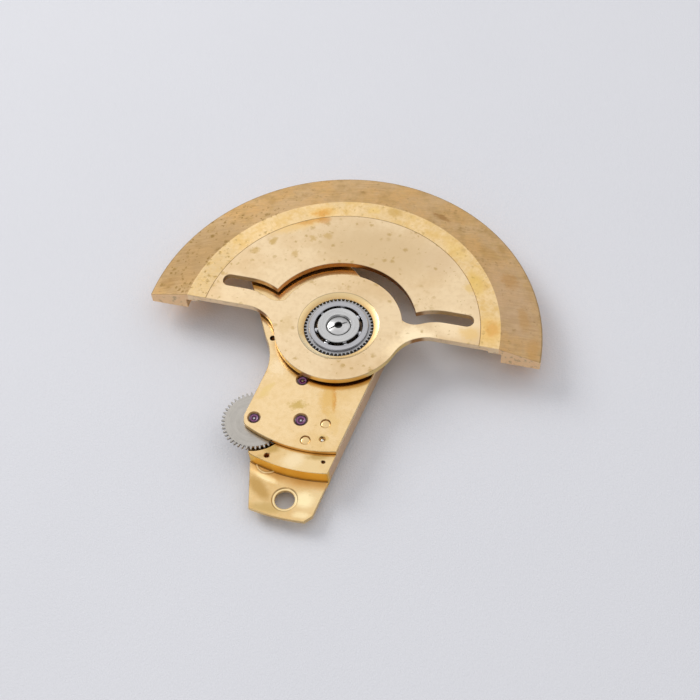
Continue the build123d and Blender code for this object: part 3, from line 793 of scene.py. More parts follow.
def gilt(name, tone, wall, patches, spots, brush, brush_depth, brush_share, roughness,
         stains=(), rings=(), painted_hub_shade=None, cone=None, wall_bands=(), painted_wall_shade=(), matt=None,
         ragged=1.6, painted_shade_hole=None):
    """Gilded metal with patches and specks of tarnish, grain, milled walls, and single stains and painted
    light.

    A wall band is its start and end radius, a colour and a polish; below zero it is matt. A band's colour
    and the wall stains can be painted shade. The halo is painted shade under and just beyond a radius,
    tinted orange and stronger to the right;
    the cone has a gilding of its own with painted highlights among its stains, a dark hole is painted shade
    inside a hole, and the matt zone is roughest at its start.
    """
    finish, tree, shader, where = start_finish(name)
    place = where["Place"]
    radius = where["Radius"]
    dull = patches["tone"]
    face = wash(tree, clouds(tree, place, patches["scale"], 0.42, 0.68), patches["share"], tone, dull)
    face = wash(tree, clouds(tree, place, 3.4, 0.40, 0.70), 0.30, face, shade(dull, 0.93))

    brushing = grain_of(tree, place, **brush)
    scratched = rise(tree, brushing, 0.3, 0.7)
    face = wash(tree, scratched, brush_share, face, shade(tone, 0.72))
    face = add_stains_and_painted_light(tree, place, face, stains, ragged)

    coarse = specks(tree, place, spots["scale"], spots["size"], spots["share"], spots["patch"])
    fine = specks(tree, place, 2.3 * spots["scale"], 0.32, 0.34, 1.7 * spots["patch"])
    spotted = times(tree, maths(tree, "MAXIMUM", coarse, times(tree, fine, 0.8)), spots["strength"])
    face = tint(tree, spotted, face, tone_of("speck"))
    face = add_rings(tree, place, face, rings)
    if cone:
        inside = rise(tree, radius, cone["radius"] + 0.01, cone["radius"] - 0.01)
        # The cone's own stains are painted highlights
        face = tint(tree, inside, face, add_stains_and_painted_light(tree, place, cone["tone"], cone["stains"], ragged))
        face = wash(tree, seam_at(tree, radius, cone["radius"], 0.035), 0.65, face, shade(tone, 0.35))
    # Painted shade under the rotor hub and just beyond its edge, tinted orange and stronger to the right
    if painted_hub_shade:
        rightward = spread(tree, rise(tree, parts_of(tree, place)[0], -2.4, -0.6), 0.3, 1.0)
        near = times(tree, rise(tree, radius, painted_hub_shade["outer"], painted_hub_shade["inner"]), rightward)
        face = wash(tree, near, painted_hub_shade["share"], face, painted_hub_shade["tone"])

    wall_tone = wash(tree, clouds(tree, place, 2.6, 0.50, 0.72), 0.35, wall, shade(wall, 0.45))
    rough_wall = where["Wall"]
    for start, end, band_tone, polish in wall_bands:
        beyond_start = rise(tree, radius, start - 0.1, start + 0.1)
        inside = times(tree, beyond_start, rise(tree, radius, end + 0.4, end))
        wall_tone = tint(tree, inside, wall_tone, band_tone)
        rough_wall = times(tree, rough_wall, maths(tree, "SUBTRACT", 1.0, times(tree, inside, polish)))
    # Painted shade on the walls
    wall_tone = add_stains_and_painted_light(tree, place, wall_tone, painted_wall_shade, ragged)
    face = tint(tree, where["Wall"], face, wall_tone)
    # Painted shade inside the hole
    if painted_shade_hole:
        away = distance_from(tree, place, painted_shade_hole["centre"])
        inside = rise(tree, away, painted_shade_hole["radius"] + 0.04, painted_shade_hole["radius"])
        face = tint(tree, inside, face, PAINTED_HOLE_SHADE)
    face = tint(tree, where["Under"], face, UNDER_GOLD)

    # Turned lines scatter more light than brushed ones
    uneven = times(tree, scratched, 0.7 if brush["kind"] == "Ring grain" else 0.2)
    uneven = maths(tree, "MAXIMUM", maths(tree, "MAXIMUM", uneven, spotted), rough_wall)
    rough = spread(tree, uneven, *roughness)
    if matt:
        near = times(tree, rise(tree, radius, matt["end"], matt["start"]), matt["extra"])
        above = maths(tree, "GREATER_THAN", radius, matt["start"])
        rough = maths(tree, "ADD", rough, times(tree, near, maths(tree, "SUBTRACT", above, where["Wall"])))
    relief = maths(tree, "SUBTRACT", brushing, times(tree, spotted, 0.6))
    shader.inputs["Metallic"].default_value = 1.0
    close_finish(tree, shader, face, rough, relief, brush_depth)
    return finish


def plate_gilt(seam_radius, cone_radius, bore_radius):
    """Satin gilding of the rotor plate, stained at the left, with painted sheen beside the hub, a painted
    highlight on its cone and painted shade on its slot walls.
    """
    olive = (0.54, 0.35, 0.11)
    stain = tone_of("stain")
    # Painted highlight on the near side of the cone
    cone_painted_highlight = ((-1.0, -2.2), (2.0, 1.3), -25, (1.0, 0.86, 0.58), 0.9)
    stains = [
        ((1.2, 6.2), (6.0, 2.6), -4, (0.66, 0.485, 0.275), 0.8),
        # The next four entries are painted sheen beside the hub
        ((7.2, 1.6), (2.2, 1.6), 0, PAINTED_SHEEN_GOLD, 0.7),
        ((4.9, 0.1), (1.6, 1.1), 0, (1.0, 0.82, 0.54), 0.9),
        ((-1.0, 3.6), (1.8, 0.8), 0, PAINTED_SHEEN_GOLD, 0.3),
        ((4.9, -1.2), (2.2, 1.5), 0, (1.0, 0.80, 0.50), 0.9),
        ((-4.5, 7.35), (2.8, 0.8), 31, (0.80, 0.53, 0.20), 0.7),
        ((-3.9, 7.75), (1.5, 0.4), 26, stain, 0.6),
        ((-3.0, 7.95), (0.6, 0.45), 20, (0.58, 0.27, 0.06), 0.6),
        ((-5.8, 5.56), (0.42, 0.34), 60, olive, 0.75),
        ((-6.75, 4.6), (0.36, 0.36), 0, olive, 0.6),
        ((-4.15, 4.9), (0.32, 0.42), 0, olive, 0.55),
        ((-3.3, 6.3), (0.38, 0.34), 0, olive, 0.65),
        ((-2.4, 6.7), (0.38, 0.30), 0, olive, 0.6),
        ((-3.2, -0.7), (0.7, 1.0), 0, olive, 0.25),
        ((5.0, 6.2), (2.0, 1.6), -35, (0.70, 0.52, 0.32), 0.5),
        ((8.0, 1.1), (0.9, 0.8), 0, (0.76, 0.50, 0.18), 0.7),
        ((7.35, 4.45), (0.5, 0.7), 30, (0.74, 0.50, 0.16), 0.6),
    ]
    return gilt(
        "plate_gilt", tone_of("plate_gold"), tone_of("wall_gold"),
        patches={"tone": (0.68, 0.475, 0.25), "scale": 0.22, "share": 0.75},
        spots={"scale": 1.9, "size": 0.36, "share": 0.75, "patch": 0.42, "strength": 0.65},
        brush={"kind": "Line grain", "lines": 9.0, "breaks": 0.5, "turned": BRUSH_TURN},
        brush_depth=0.004,
        brush_share=0.06,
        roughness=(0.28, 0.38),
        stains=stains,
        ragged=1.1,
        rings=[((0, 0), seam_radius, 0.035, SEAM_BROWN, 0.75, None)],
        cone={"radius": cone_radius, "tone": (0.86, 0.65, 0.34), "stains": [cone_painted_highlight]},
        matt={"start": bore_radius - 0.1, "end": cone_radius + 0.1, "extra": 0.6},
        # The second wall band is painted shade on the slot's outer wall, and the wall stains are painted
        # shade on the wing walls
        wall_bands=[(0.0, 4.2, (1.0, 0.74, 0.30), 0.5), (4.6, 5.1, (0.45, 0.22, 0.08), 0.5)],
        painted_wall_shade=[((x, 2.35), (2.4, 0.6), 0, (0.50, 0.30, 0.10), 0.8) for x in (6.9, -6.9)])


def bridge_gilt(edges, oil_hole):
    """Polished gilding of the bridge, streaked near the hub, with painted shade under the hub's edge and in
    its jewel sinks and oil hole, and painted sheen beside the hub.
    """
    stain = tone_of("stain")
    stains = [
        ((0.95, -4.9), (0.22, 1.3), 14, stain, 0.95),
        ((0.55, -4.9), (0.65, 1.6), 14, (0.76, 0.48, 0.16), 0.85),
        ((1.3, -6.4), (0.5, 1.2), 14, (0.80, 0.55, 0.22), 0.5),
        ((-3.2, -5.2), (0.35, 0.9), -25, (0.80, 0.58, 0.22), 0.6),
        ((-1.05, -5.75), (0.7, 0.45), 8, (0.60, 0.41, 0.12), 0.85),
        ((-3.9, -3.8), (0.5, 0.7), 0, stain, 0.35),
        # Painted sheen near the hub
        ((-2.9, -3.4), (0.8, 0.9), 0, PAINTED_SHEEN_GOLD, 0.6),
        ((1.05, -7.7), (0.42, 0.36), 0, (0.66, 0.44, 0.12), 0.6),
    ]
    return gilt(
        "bridge_gilt", tone_of("bridge_gold"), tone_of("wall_gold"),
        patches={"tone": (0.76, 0.50, 0.19), "scale": 0.30, "share": 0.55},
        spots={"scale": 2.6, "size": 0.2, "share": 0.25, "patch": 0.4, "strength": 0.3},
        brush={"kind": "Line grain", "lines": 12.0, "breaks": 0.4, "turned": -62},
        brush_depth=0.0008,
        brush_share=0.04,
        roughness=(0.20, 0.30),
        stains=stains,
        rings=edges,
        # Painted shade inside the oil hole
        painted_shade_hole=oil_hole,
        # Painted shade under the rotor hub's edge, orange tinted
        painted_hub_shade={"inner": 4.02, "outer": 4.4, "tone": (0.45, 0.20, 0.035), "share": 0.85},
        wall_bands=[(8.2, EVERYWHERE, (0.80, 0.48, 0.14), 0.8)])


def rivet_gilt():
    """Gilding of the two rivets, a little duller than the bridge."""
    return gilt(
        "rivet_gilt", (0.74, 0.54, 0.27), tone_of("wall_gold"),
        patches={"tone": (0.62, 0.38, 0.12), "scale": 1.6, "share": 0.5},
        spots={"scale": 4.0, "size": 0.2, "share": 0.3, "patch": 0.8, "strength": 0.4},
        brush={"kind": "Ring grain", "lines": 9.0, "breaks": 2.0},
        brush_depth=0.003,
        brush_share=0.1,
        roughness=(0.25, 0.4))


def main_plate_gilt(block_radius, bridge_radius, hole_radius, small_hole_centre):
    """Gilding of the main plate: painted highlights and reflections on the tab, light and dark patches on
    the ledge, painted shade along its seams and in its pits.
    """
    # Brown of painted shade
    dark = (0.16, 0.07, 0.02)
    # Colour of painted highlights
    glint = (1.0, 0.83, 0.48)
    # Near black of painted shade in pits
    painted_pit_shade = (0.07, 0.03, 0.01)
    stains = [
        ((-0.4, -9.32), (0.95, 0.7), 30, (0.90, 0.72, 0.44), 0.85),
        ((-1.8, -8.8), (0.7, 0.45), 20, (0.52, 0.33, 0.10), 0.9),
        ((-2.3, -9.45), (0.5, 0.25), 20, (0.58, 0.40, 0.16), 0.6),
        # Painted shadow below the bridge's end
        ((1.0, -8.75), (1.0, 0.32), 14, (0.54, 0.36, 0.13), 0.9),
        # Painted highlights and painted dark reflections on the tab
        ((-1.9, -10.25), (1.1, 0.28), -15, glint, 0.9),
        ((0.7, -11.2), (0.8, 0.7), 0, glint, 0.9),
        ((0.8, -12.2), (0.7, 0.3), 8, glint, 0.6),
        ((-2.1, -11.0), (1.5, 0.6), -40, (0.50, 0.30, 0.09), 0.85),
        ((-1.2, -12.15), (1.6, 0.5), 6, (0.56, 0.38, 0.14), 0.8),
        # Painted shade inside the boss hole and the small hole
        (BOSS_CENTRE, (0.24, 0.24), 0, painted_pit_shade, 1.0),
        (small_hole_centre, (0.15, 0.15), 0, painted_pit_shade, 1.0),
    ]
    # The tab and its boss lie below this height, so rings with this limit stay off the block's top
    tab_limit = 0.5
    # Painted shade at the block's foot, under the bridge's end and round the boss and the tab hole, and
    # painted highlights on the boss and the tab hole's edge
    rings = [
        ((0, 0), block_radius + 0.035, 0.06, dark, 0.9, tab_limit),
        ((0, 0), bridge_radius + 0.02, 0.05, dark, 0.85, None),
        (BOSS_CENTRE, 0.74, 0.04, dark, 0.35, tab_limit),
        (BOSS_CENTRE, 0.60, 0.05, dark, 0.4, tab_limit),
        (BOSS_CENTRE, 0.67, 0.06, (1.0, 0.90, 0.62), 0.7, tab_limit),
        (TAB_HOLE_CENTRE, hole_radius + 0.175, 0.05, dark, 0.25, tab_limit),
        (TAB_HOLE_CENTRE, hole_radius + 0.08, 0.06, glint, 0.7, tab_limit),
    ]
    return gilt(
        "main_plate_gilt", tone_of("module_gold"), (0.84, 0.53, 0.27),
        patches={"tone": (0.84, 0.64, 0.34), "scale": 0.35, "share": 0.8},
        spots={"scale": 2.4, "size": 0.2, "share": 0.25, "patch": 0.4, "strength": 0.3},
        brush={"kind": "Line grain", "lines": 6.0, "breaks": 0.25, "turned": -40},
        brush_depth=0.0002,
        brush_share=0.03,
        roughness=(0.22, 0.34),
        stains=stains,
        ragged=0.45,
        rings=rings,
        matt={"start": block_radius, "end": block_radius + 0.9, "extra": 0.3},
        wall_bands=[
            (block_radius + 0.5, EVERYWHERE, (0.84, 0.60, 0.28), 0.5),
            (block_radius - 0.25, block_radius + 0.1, (1.0, 0.60, 0.09), -2.6),
        ])


def rim_gilt(flange_radius, seam_radius, rim_radius):
    """Gilding of the rim: a yellow lip, a seam at the plate and a worn tan band."""
    finish, tree, shader, where = start_finish("rim_gilt")
    place = where["Place"]
    radius = where["Radius"]
    band = tone_of("band_gold")
    stain = tone_of("stain")
    amber = (0.80, 0.52, 0.18)
    brushing = grain_of(tree, place, "Line grain", 11.0, 0.7, BRUSH_TURN)
    scratched = rise(tree, brushing, 0.3, 0.7)
    wide = clouds(tree, place, 0.45, 0.4, 0.62)
    small = clouds(tree, place, 1.2, 0.45, 0.68)
    spotty = clouds(tree, place, 2.6, 0.48, 0.66)
    tiny = clouds(tree, place, 5.0, 0.40, 0.68)
    blotches = specks(tree, place, 0.95, 0.40, 0.70, 0.6)

    lip = tone_of("flange_gold")
    lip = wash(tree, wide, 0.5, lip, shade(lip, 1.15))
    lip = wash(tree, small, 0.45, lip, (0.70, 0.45, 0.13))
    lip = wash(tree, spotty, 0.40, lip, (0.66, 0.41, 0.12))
    lip = add_stains_and_painted_light(tree, place, lip, [
        ((-9.6, 1.4), (3.2, 5.5), -15, (0.56, 0.41, 0.22), 0.8),
        ((9.2, 1.5), (1.3, 1.4), 0, amber, 0.7),
        ((9.3, 1.7), (0.6, 0.8), 0, stain, 0.5),
        ((-3.2, 8.6), (1.3, 0.6), 20, amber, 0.75),
        ((-3.25, 8.5), (0.8, 0.42), 20, stain, 0.7),
        ((1.4, 9.5), (0.7, 0.5), 0, (0.54, 0.33, 0.08), 0.6),
        ((0.0, 9.4), (0.5, 0.4), 0, (0.80, 0.56, 0.20), 0.6),
        ((7.6, 4.9), (0.7, 1.3), 30, (0.74, 0.50, 0.14), 0.7),
        ((5.9, 7.2), (1.4, 0.6), -40, (0.76, 0.52, 0.16), 0.5),
    ], 1.1)
    lip = wash(tree, blotches, 0.35, lip, (0.66, 0.42, 0.12))
    lip = wash(tree, tiny, 0.25, lip, (0.60, 0.38, 0.11))

    slope = band
    for mask, strength, tone in (
        (wide, 0.65, (0.72, 0.47, 0.19)),
        (small, 0.55, (0.53, 0.36, 0.15)),
        (spotty, 0.30, (0.60, 0.43, 0.17)),
        (tiny, 0.25, shade(band, 0.78)),
        (blotches, 0.45, (0.50, 0.32, 0.11)),
        (scratched, 0.18, shade(band, 0.72)),
    ):
        slope = wash(tree, mask, strength, slope, tone)
    slope = add_stains_and_painted_light(tree, place, slope, [
        ((4.4, 9.9), (0.9, 0.35), -20, (0.42, 0.24, 0.08), 0.7),
        ((-10.4, 3.6), (3.0, 5.0), -35, (0.50, 0.35, 0.18), 0.6),
        ((-11.6, 1.2), (0.7, 0.8), 0, (0.46, 0.28, 0.09), 0.4),
        ((11.9, 1.0), (0.5, 1.3), 0, (0.66, 0.42, 0.16), 0.6),
        ((9.9, 4.2), (2.0, 4.6), 25, (0.66, 0.50, 0.35), 0.45),
        ((9.6, 5.8), (0.7, 1.0), 30, (0.58, 0.35, 0.12), 0.55),
        ((11.0, 3.0), (0.5, 1.2), 15, (0.60, 0.38, 0.14), 0.5),
        ((7.9, 7.6), (1.3, 0.6), -42, (0.56, 0.36, 0.13), 0.45),
    ], 1.2)
    outer = rise(tree, radius, flange_radius - 0.01, flange_radius + 0.01)
    face = tint(tree, outer, lip, slope)

    # Specks are dark and crowded at the left end and fade towards the right
    apart = parts_of(tree, place)
    side = maths(tree, "ADD", apart[0], times(tree, apart[1], 0.8))
    fine = specks(tree, place, 3.6, 0.42, 0.55, 0.5)
    coarse = specks(tree, place, 1.6, 0.30, 0.45, 0.35)
    crowd = times(tree, specks(tree, place, 2.7, 0.44, 0.75, 0.9), rise(tree, side, -1.0, -5.0))
    spots = maths(tree, "MAXIMUM", fine, times(tree, coarse, 0.85))
    spots = maths(tree, "MAXIMUM", spots, times(tree, crowd, 0.8))
    worn = spread(tree, rise(tree, side, 4.0, -5.0), 0.4, 1.0)
    face = wash(tree, spots, worn, face, shade(tone_of("speck"), 0.85))

    face = add_rings(tree, place, face, [((0, 0), seam_radius, 0.035, SEAM_BROWN, 0.7, None)])
    face = wash(tree, seam_at(tree, radius, rim_radius - 0.028, 0.09), 0.6, face, shade(band, 0.5))
    wall = tone_of("wall_gold")
    wall_tone = wash(tree, clouds(tree, place, 2.8, 0.52, 0.70), 0.45, wall, shade(wall, 0.4))
    face = tint(tree, where["Wall"], face, wall_tone)
    face = tint(tree, where["Under"], face, UNDER_GOLD)
    rough = maths(tree, "ADD", spread(tree, outer, 0.36, 0.78), times(tree, scratched, 0.08))
    relief = maths(tree, "SUBTRACT", brushing, times(tree, spots, 0.5))
    shader.inputs["Metallic"].default_value = 1.0
    close_finish(tree, shader, face, rough, relief, 0.012)
    return finish


def turned_steel(name, tone, lines, roughness, depth, stain=0.3, centre=None, painted_shade_below=None):
    """Steel with fine turning lines; deep is a height and the factor of the shade painted on all that lies
    below it.
    """
    finish, tree, shader, where = start_finish(name)
    place = where["Place"]
    if centre:
        place = vector_maths(tree, "SUBTRACT", {0: place, 1: (*centre, 0.0)})
    turning = grain_of(tree, place, "Ring grain", lines, 0.8)
    scratched = rise(tree, turning, 0.3, 0.7)
    cloud = clouds(tree, place, 2.4, 0.42, 0.66)
    face = wash(tree, scratched, 0.5, tone, shade(tone, 0.66))
    face = wash(tree, cloud, stain, face, shade(tone, 0.6))
    # Painted shade on all that lies below the height
    if painted_shade_below:
        top, share = painted_shade_below
        level = parts_of(tree, where["Place"])[2]
        face = tint(tree, rise(tree, level, top, top - 0.06), face, shade(tone, share))
    uneven = maths(tree, "MAXIMUM", times(tree, scratched, 0.6), cloud)
    shader.inputs["Metallic"].default_value = 1.0
    close_finish(tree, shader, face, spread(tree, uneven, *roughness), turning, depth)
    return finish


def jewel_ruby(name, tone):
    """Synthetic ruby of a purple red, with painted shade at its outer edge and inside its cup, and a pale
    ring on the cup's edge.
    """
    finish, tree, shader, where = start_finish(name)
    place = where["Place"]
    cloud = clouds(tree, place, 5.0, 0.35, 0.65)
    face = wash(tree, cloud, 0.6, tone, shade(tone, 0.45))
    for _, centre, share in JEWELS:
        # Painted shade at each jewel's outer edge and inside its cup, with a pale ring between
        face = add_rings(tree, place, face, [
            (centre, 0.29 * share, 0.08, shade(tone, 0.10), 1.0, None),
            (centre, 0.20 * share, 0.05, (0.42, 0.15, 0.38), 0.8, None),
            (centre, 0.12 * share, 0.05, shade(tone, 0.15), 0.9, None),
        ])
    shader.inputs["Transmission Weight"].default_value = 0.2
    shader.inputs["IOR"].default_value = 1.5
    close_finish(tree, shader, face, spread(tree, cloud, 0.06, 0.16), cloud, 0.002)
    return finish


def pale_floor(name, tone):
    """Matt pale floor with a faint unevenness."""
    finish, tree, shader, where = start_finish(name)
    place = where["Place"]
    fine = clouds(tree, place, 9.0, 0.2, 0.8)
    face = wash(tree, clouds(tree, place, 0.05, 0.3, 0.7), 0.5, tone, shade(tone, 0.975))
    shader.inputs["Specular IOR Level"].default_value = 0.15
    close_finish(tree, shader, face, spread(tree, fine, 0.75, 0.9), fine, 0.01)
    return finish


# Outlines


def plate_outline(radius):
    """Half disc with its hub; radius is the outer arc's."""
    hub, fillet, edge = in_mm("rotor_sizes", "hub_radius", "hub_fillet", "edge_height")
    fillet_y = edge - fillet
    fillet_x = math.sqrt((hub + fillet) ** 2 - fillet_y ** 2)
    end = math.degrees(math.asin(edge / radius))
    meet = math.degrees(math.atan2(-fillet_y, fillet_x))
    return joined(
        arc((0, 0), radius, end, 180 - end),
        arc((-fillet_x, fillet_y), fillet, 90, meet),
        arc((0, 0), hub, 180 + meet, 360 - meet),
        arc((fillet_x, fillet_y), fillet, 180 - meet, 90),
    )


def spring_slot():
    """Arc slot above the hub with a wing at each end, as one loop."""
    inner, outer, plate = in_mm("rotor_sizes", "slot_inner_radius", "slot_outer_radius", "plate_radius")
    half_width = 0.435
    wing_y = 1.97
    tip_x = plate - 0.65
    # Half sweep of the arc slot, at its outer edge and at its inner edge
    cusp_angle = 66.8
    root_angle = 72.4
    cusp = polar(outer, 90 - cusp_angle)
    root = polar(inner, 90 - root_angle)
    # Where the wing's straight edges end, and the low point from which it turns up to the hub
    straight_x = cusp[0] + (tip_x - cusp[0]) * 0.54
    bend = (root[0] + (tip_x - root[0]) * 0.27, wing_y - 0.82)
    upper, _ = tangent_arc((straight_x, wing_y + half_width), cusp, 180)
    lower, way = tangent_arc((straight_x, wing_y - half_width), bend, 180)
    corner, _ = tangent_arc(bend, root, way)
    tip = arc((tip_x - half_width, wing_y), half_width, 90, -90)
    wing = upper[::-1] + tip + lower + corner
    inner_run = arc((0, 0), inner, 90 - root_angle, 90 + root_angle)
    outer_run = arc((0, 0), outer, 90 + cusp_angle, 90 - cusp_angle)
    return joined(wing, inner_run, mirrored(wing), outer_run)


def rounded(before, corner, after, radius):
    """A corner of an outline replaced by a short curve."""
    first = Vector((before[0] - corner[0], before[1] - corner[1]))
    second = Vector((after[0] - corner[0], after[1] - corner[1]))
    reach = radius * math.tan((math.pi - first.angle(second)) / 2)
    reach = min(reach, 0.45 * first.length, 0.45 * second.length)
    start = Vector(corner) + first.normalized() * reach
    end = Vector(corner) + second.normalized() * reach
    return tangent_arc(tuple(start), tuple(end), heading(start, corner))[0]


def right_side(opening, radius):
    """Right edge of the module: its foot beside the hub and its end on a circle."""
    foot = polar(opening + 0.77, -8.5)
    return foot, run_to_circle(foot, -98.5, radius)


def module_outline(opening, near_radius, corner_angle, far_radius):
    """Common plan of the main plate and the bridge."""
    wheel_tip = 1.9975
    corner_radius = 0.45
    right_foot, near_right = right_side(opening, near_radius)
    near_left = polar(near_radius, corner_angle)
    nose = (SECOND_CENTRE[0] - 0.63, SECOND_CENTRE[1])
    waist = (FIRST_CENTRE[0] - wheel_tip - 0.37, FIRST_CENTRE[1])
    shoulder = polar(opening + 2.11, -162)
    flank = polar(6.92, 158.4)
    far_left = run_to_circle(flank, 109.3, far_radius)
    far_foot = polar(opening + 1.10, 50.3)
    far_right = run_to_circle(far_foot, 140.3, far_radius)
    hub_middle = polar(opening + 0.935, 20.9)
    side, _ = tangent_arc(waist, shoulder, heading(nose, waist))
    return joined(
        arc((0, 0), near_radius, heading((0, 0), near_right), corner_angle + 1.5),
        rounded(polar(near_radius, corner_angle + 3), near_left, nose, corner_radius),
        rounded(near_left, nose, waist, corner_radius),
        [waist],
        side,
        [flank, far_left],
        arc((0, 0), far_radius, heading((0, 0), far_left), heading((0, 0), far_right)),
        [far_right, far_foot],
        arc_through(far_foot, hub_middle, right_foot),
    )


def tab_outline(opening, bridge_radius, block_radius, tab_radius):
    """Plan of the thin fixing tab."""
    return joined(
        [right_side(opening, bridge_radius)[1], polar(block_radius, BLOCK_CORNER_ANGLE)],
        arc((0, 0), tab_radius, -100.6, -85.0),
        [polar(tab_radius - 0.38, -83.1)],
    )


def hull(points):
    """Outer loop round a set of points."""
    ordered = sorted(set(points))

    def half(run):
        """One side of the loop, without its last point."""
        side = []
        for point in run:
            while len(side) > 1:
                (ax, ay), (bx, by) = side[-2], side[-1]
                if (bx - ax) * (point[1] - ay) - (by - ay) * (point[0] - ax) > 0:
                    break
                side.pop()
            side.append(point)
        return side[:-1]

    return half(ordered) + half(ordered[::-1])


def bottom_bridge_loop():
    """Recess for the bottom bridge."""
    points = circle(REDUCTION_CENTRE, 2.53) + circle(SECOND_CENTRE, 0.63)
    for centre in BOTTOM_SCREW_CENTRES:
        points += circle(centre, 0.5)
    return hull(points)


def tooth_loop(teeth, module, phase, tip=None, root=None):
    """Watch gear with radial flanks; without a given tip its teeth are pointed."""
    pitch = module * teeth / 2
    pointed = tip is None
    tip = tip or pitch + module
    root = root or pitch - 1.35 * module
    step = 360 / teeth
    half = step * 0.46 / 2
    half_tip = step * 0.12 / 2
    loop = []
    for tooth in range(teeth):
        middle = phase + tooth * step
        loop.append(polar(root, middle - half))
        if pointed:
            loop.append(polar(pitch, middle - half))
        loop.append(polar(tip, middle - half_tip))
        loop.append(polar(tip, middle + half_tip))
        if pointed:
            loop.append(polar(pitch, middle + half))
        loop.append(polar(root, middle + half))
    return loop


def click_studs(name, centre):
    """Places of the two click studs under a reverser wheel."""
    stud_circle = 1.05
    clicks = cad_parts[name.replace("_wheel", "_clicks")].data

    def reach(vertex):
        """Distance from the wheel's axis."""
        return (vertex.co / MM - Vector((*centre, vertex.co.z / MM))).length

    tip = max(clicks.vertices, key=reach).co
    angle = heading(centre, (tip.x / MM, tip.y / MM))
    return [polar(stud_circle, angle, centre), polar(stud_circle, angle + 180, centre)]


# Operators


class ROTOR_OT_plate(bpy.types.Operator):
    """Rotor plate with its hub, spring slot and countersink"""

    bl_idname = "rotor.plate"
    bl_label = "Rotor plate"

    def execute(self, context):
        bottom, top = heights("rotor_plate")
        plate, lap, cone, bore, edge_break = in_mm(
            "rotor_sizes", "plate_radius", "lap_radius", "countersink_radius", "bore_radius", "edge_break")
        steps = [
            (cone + 0.012, top),
            (cone - 0.012, top - 0.012),
            (bore + 0.01, top - 0.22),
            (bore, top - 0.23),
            (bore, bottom + 0.02),
            (bore + 0.02, bottom),
        ]
        bores = [((0, 0), steps)]
        piece = solid(prism, plate_outline(lap), bottom, top, edge_break, holes=[spring_slot()], bores=bores)
        rebate = solid(turn, [
            (plate, top - LIP_DEPTH),
            (plate, top - 0.015),
            (plate - 0.03, top + 0.015),
            (lap + 1, top + 0.015),
            (lap + 1, top - LIP_DEPTH),
        ])
        cut(piece, [rebate])
        finish = plate_gilt(plate, cone, bore)
        keep("satin_rotor_plate", piece, "rotor", finish, ["rotor_plate"])
        return {"FINISHED"}


class ROTOR_OT_weight(bpy.types.Operator):
    """Heavy rim with its flat lip and sloping band"""

    bl_idname = "rotor.weight"
    bl_label = "Rotor weight"

    def execute(self, context):
        bottom, top = heights("rotor_weight")
        plate, lap, flange, inner, outer, edge = in_mm(
            "rotor_sizes", "plate_radius", "lap_radius", "flange_radius", "rim_inner_radius",
            "rotor_radius", "edge_height")
        shoulder = top - 0.7
        ledge = top - 0.55
        profile = [
            (plate + 0.004, top - LIP_DEPTH),
            (plate + 0.004, top - 0.015),
            (plate + 0.02, top),
            (flange - 0.01, top),
            (flange + 0.01, top - 0.0026),
            (outer - 0.07, shoulder + 0.053),
        ]
        profile += profile_arc((outer - 0.05, shoulder - 0.012), 0.05, 75, 0, 4)
        profile += profile_arc((outer - 0.09, bottom + 0.09), 0.09, 0, -90, 5)
        profile += [
            (inner + 0.02, bottom),
            (inner, bottom + 0.02),
            (inner, ledge),
            (lap + 0.02, ledge),
            (lap, top - 0.53),
            (lap, top - LIP_DEPTH),
        ]
        bm = bmesh.new()
        turn(bm, profile)
        geometry = bm.verts[:] + bm.edges[:] + bm.faces[:]
        sliced = bmesh.ops.bisect_plane(
            bm, geom=geometry, dist=1e-5, plane_co=(0, edge, 0), plane_no=(0, -1, 0), clear_outer=True)
        rims = [part for part in sliced["geom_cut"] if isinstance(part, bmesh.types.BMEdge)]
        ends = bmesh.ops.edgenet_fill(bm, edges=rims)["faces"]
        bmesh.ops.recalc_face_normals(bm, faces=bm.faces)
        edges = list({each for face in ends for each in face.edges})
        bmesh.ops.bevel(bm, geom=edges, offset=0.018, segments=1, affect="EDGES", clamp_overlap=True)
        finish = rim_gilt(flange, plate, outer)
        keep("gilded_rotor_weight", blank(bm), "rotor", finish, ["rotor_weight"], 5)
        return {"FINISHED"}


class ROTOR_OT_gear(bpy.types.Operator):
    """Toothed tube of the rotor, whose tooth ends show as a knurl round the bearing"""

    bl_idname = "rotor.gear"
    bl_label = "Rotor gear"

    def execute(self, context):
        bottom, top = heights("rotor_gear")
        shoulder = heights("rotor_plate")[0]
        module, edge_break = in_mm("rotor_train", "tooth_module", "edge_break")
        bore = in_mm("rotor_sizes", "bore_radius")[0]
        hole = in_mm("rotor_bearing", "ring_radius")[0] + 0.002
        teeth = context.scene.rotor_train.rotor_teeth
        first_tooth = -107.6 + 180 / teeth
        full = tooth_loop(teeth, module, first_tooth)
        turned_down = tooth_loop(teeth, module, first_tooth, tip=bore - 0.004, root=bore - 0.17)
        bm = bmesh.new()
        for loop, low, high in ((full, bottom, shoulder), (turned_down, shoulder - 0.01, top)):
            prism(bm, loop, low, high, edge_break, bores=[((0, 0), bore_steps(hole, low, high, 0.01))])
        # The tooth gaps get painted shade
        finish = turned_steel(
            "dark_gear_steel", shade(tone_of("steel"), 0.68), lines=7.0, roughness=(0.28, 0.42), depth=0.002,
            painted_shade_below=(top - 0.03, 0.6))
        keep("knurled_rotor_gear", blank(bm), "rotor", finish, ["rotor_gear"])
        return {"FINISHED"}


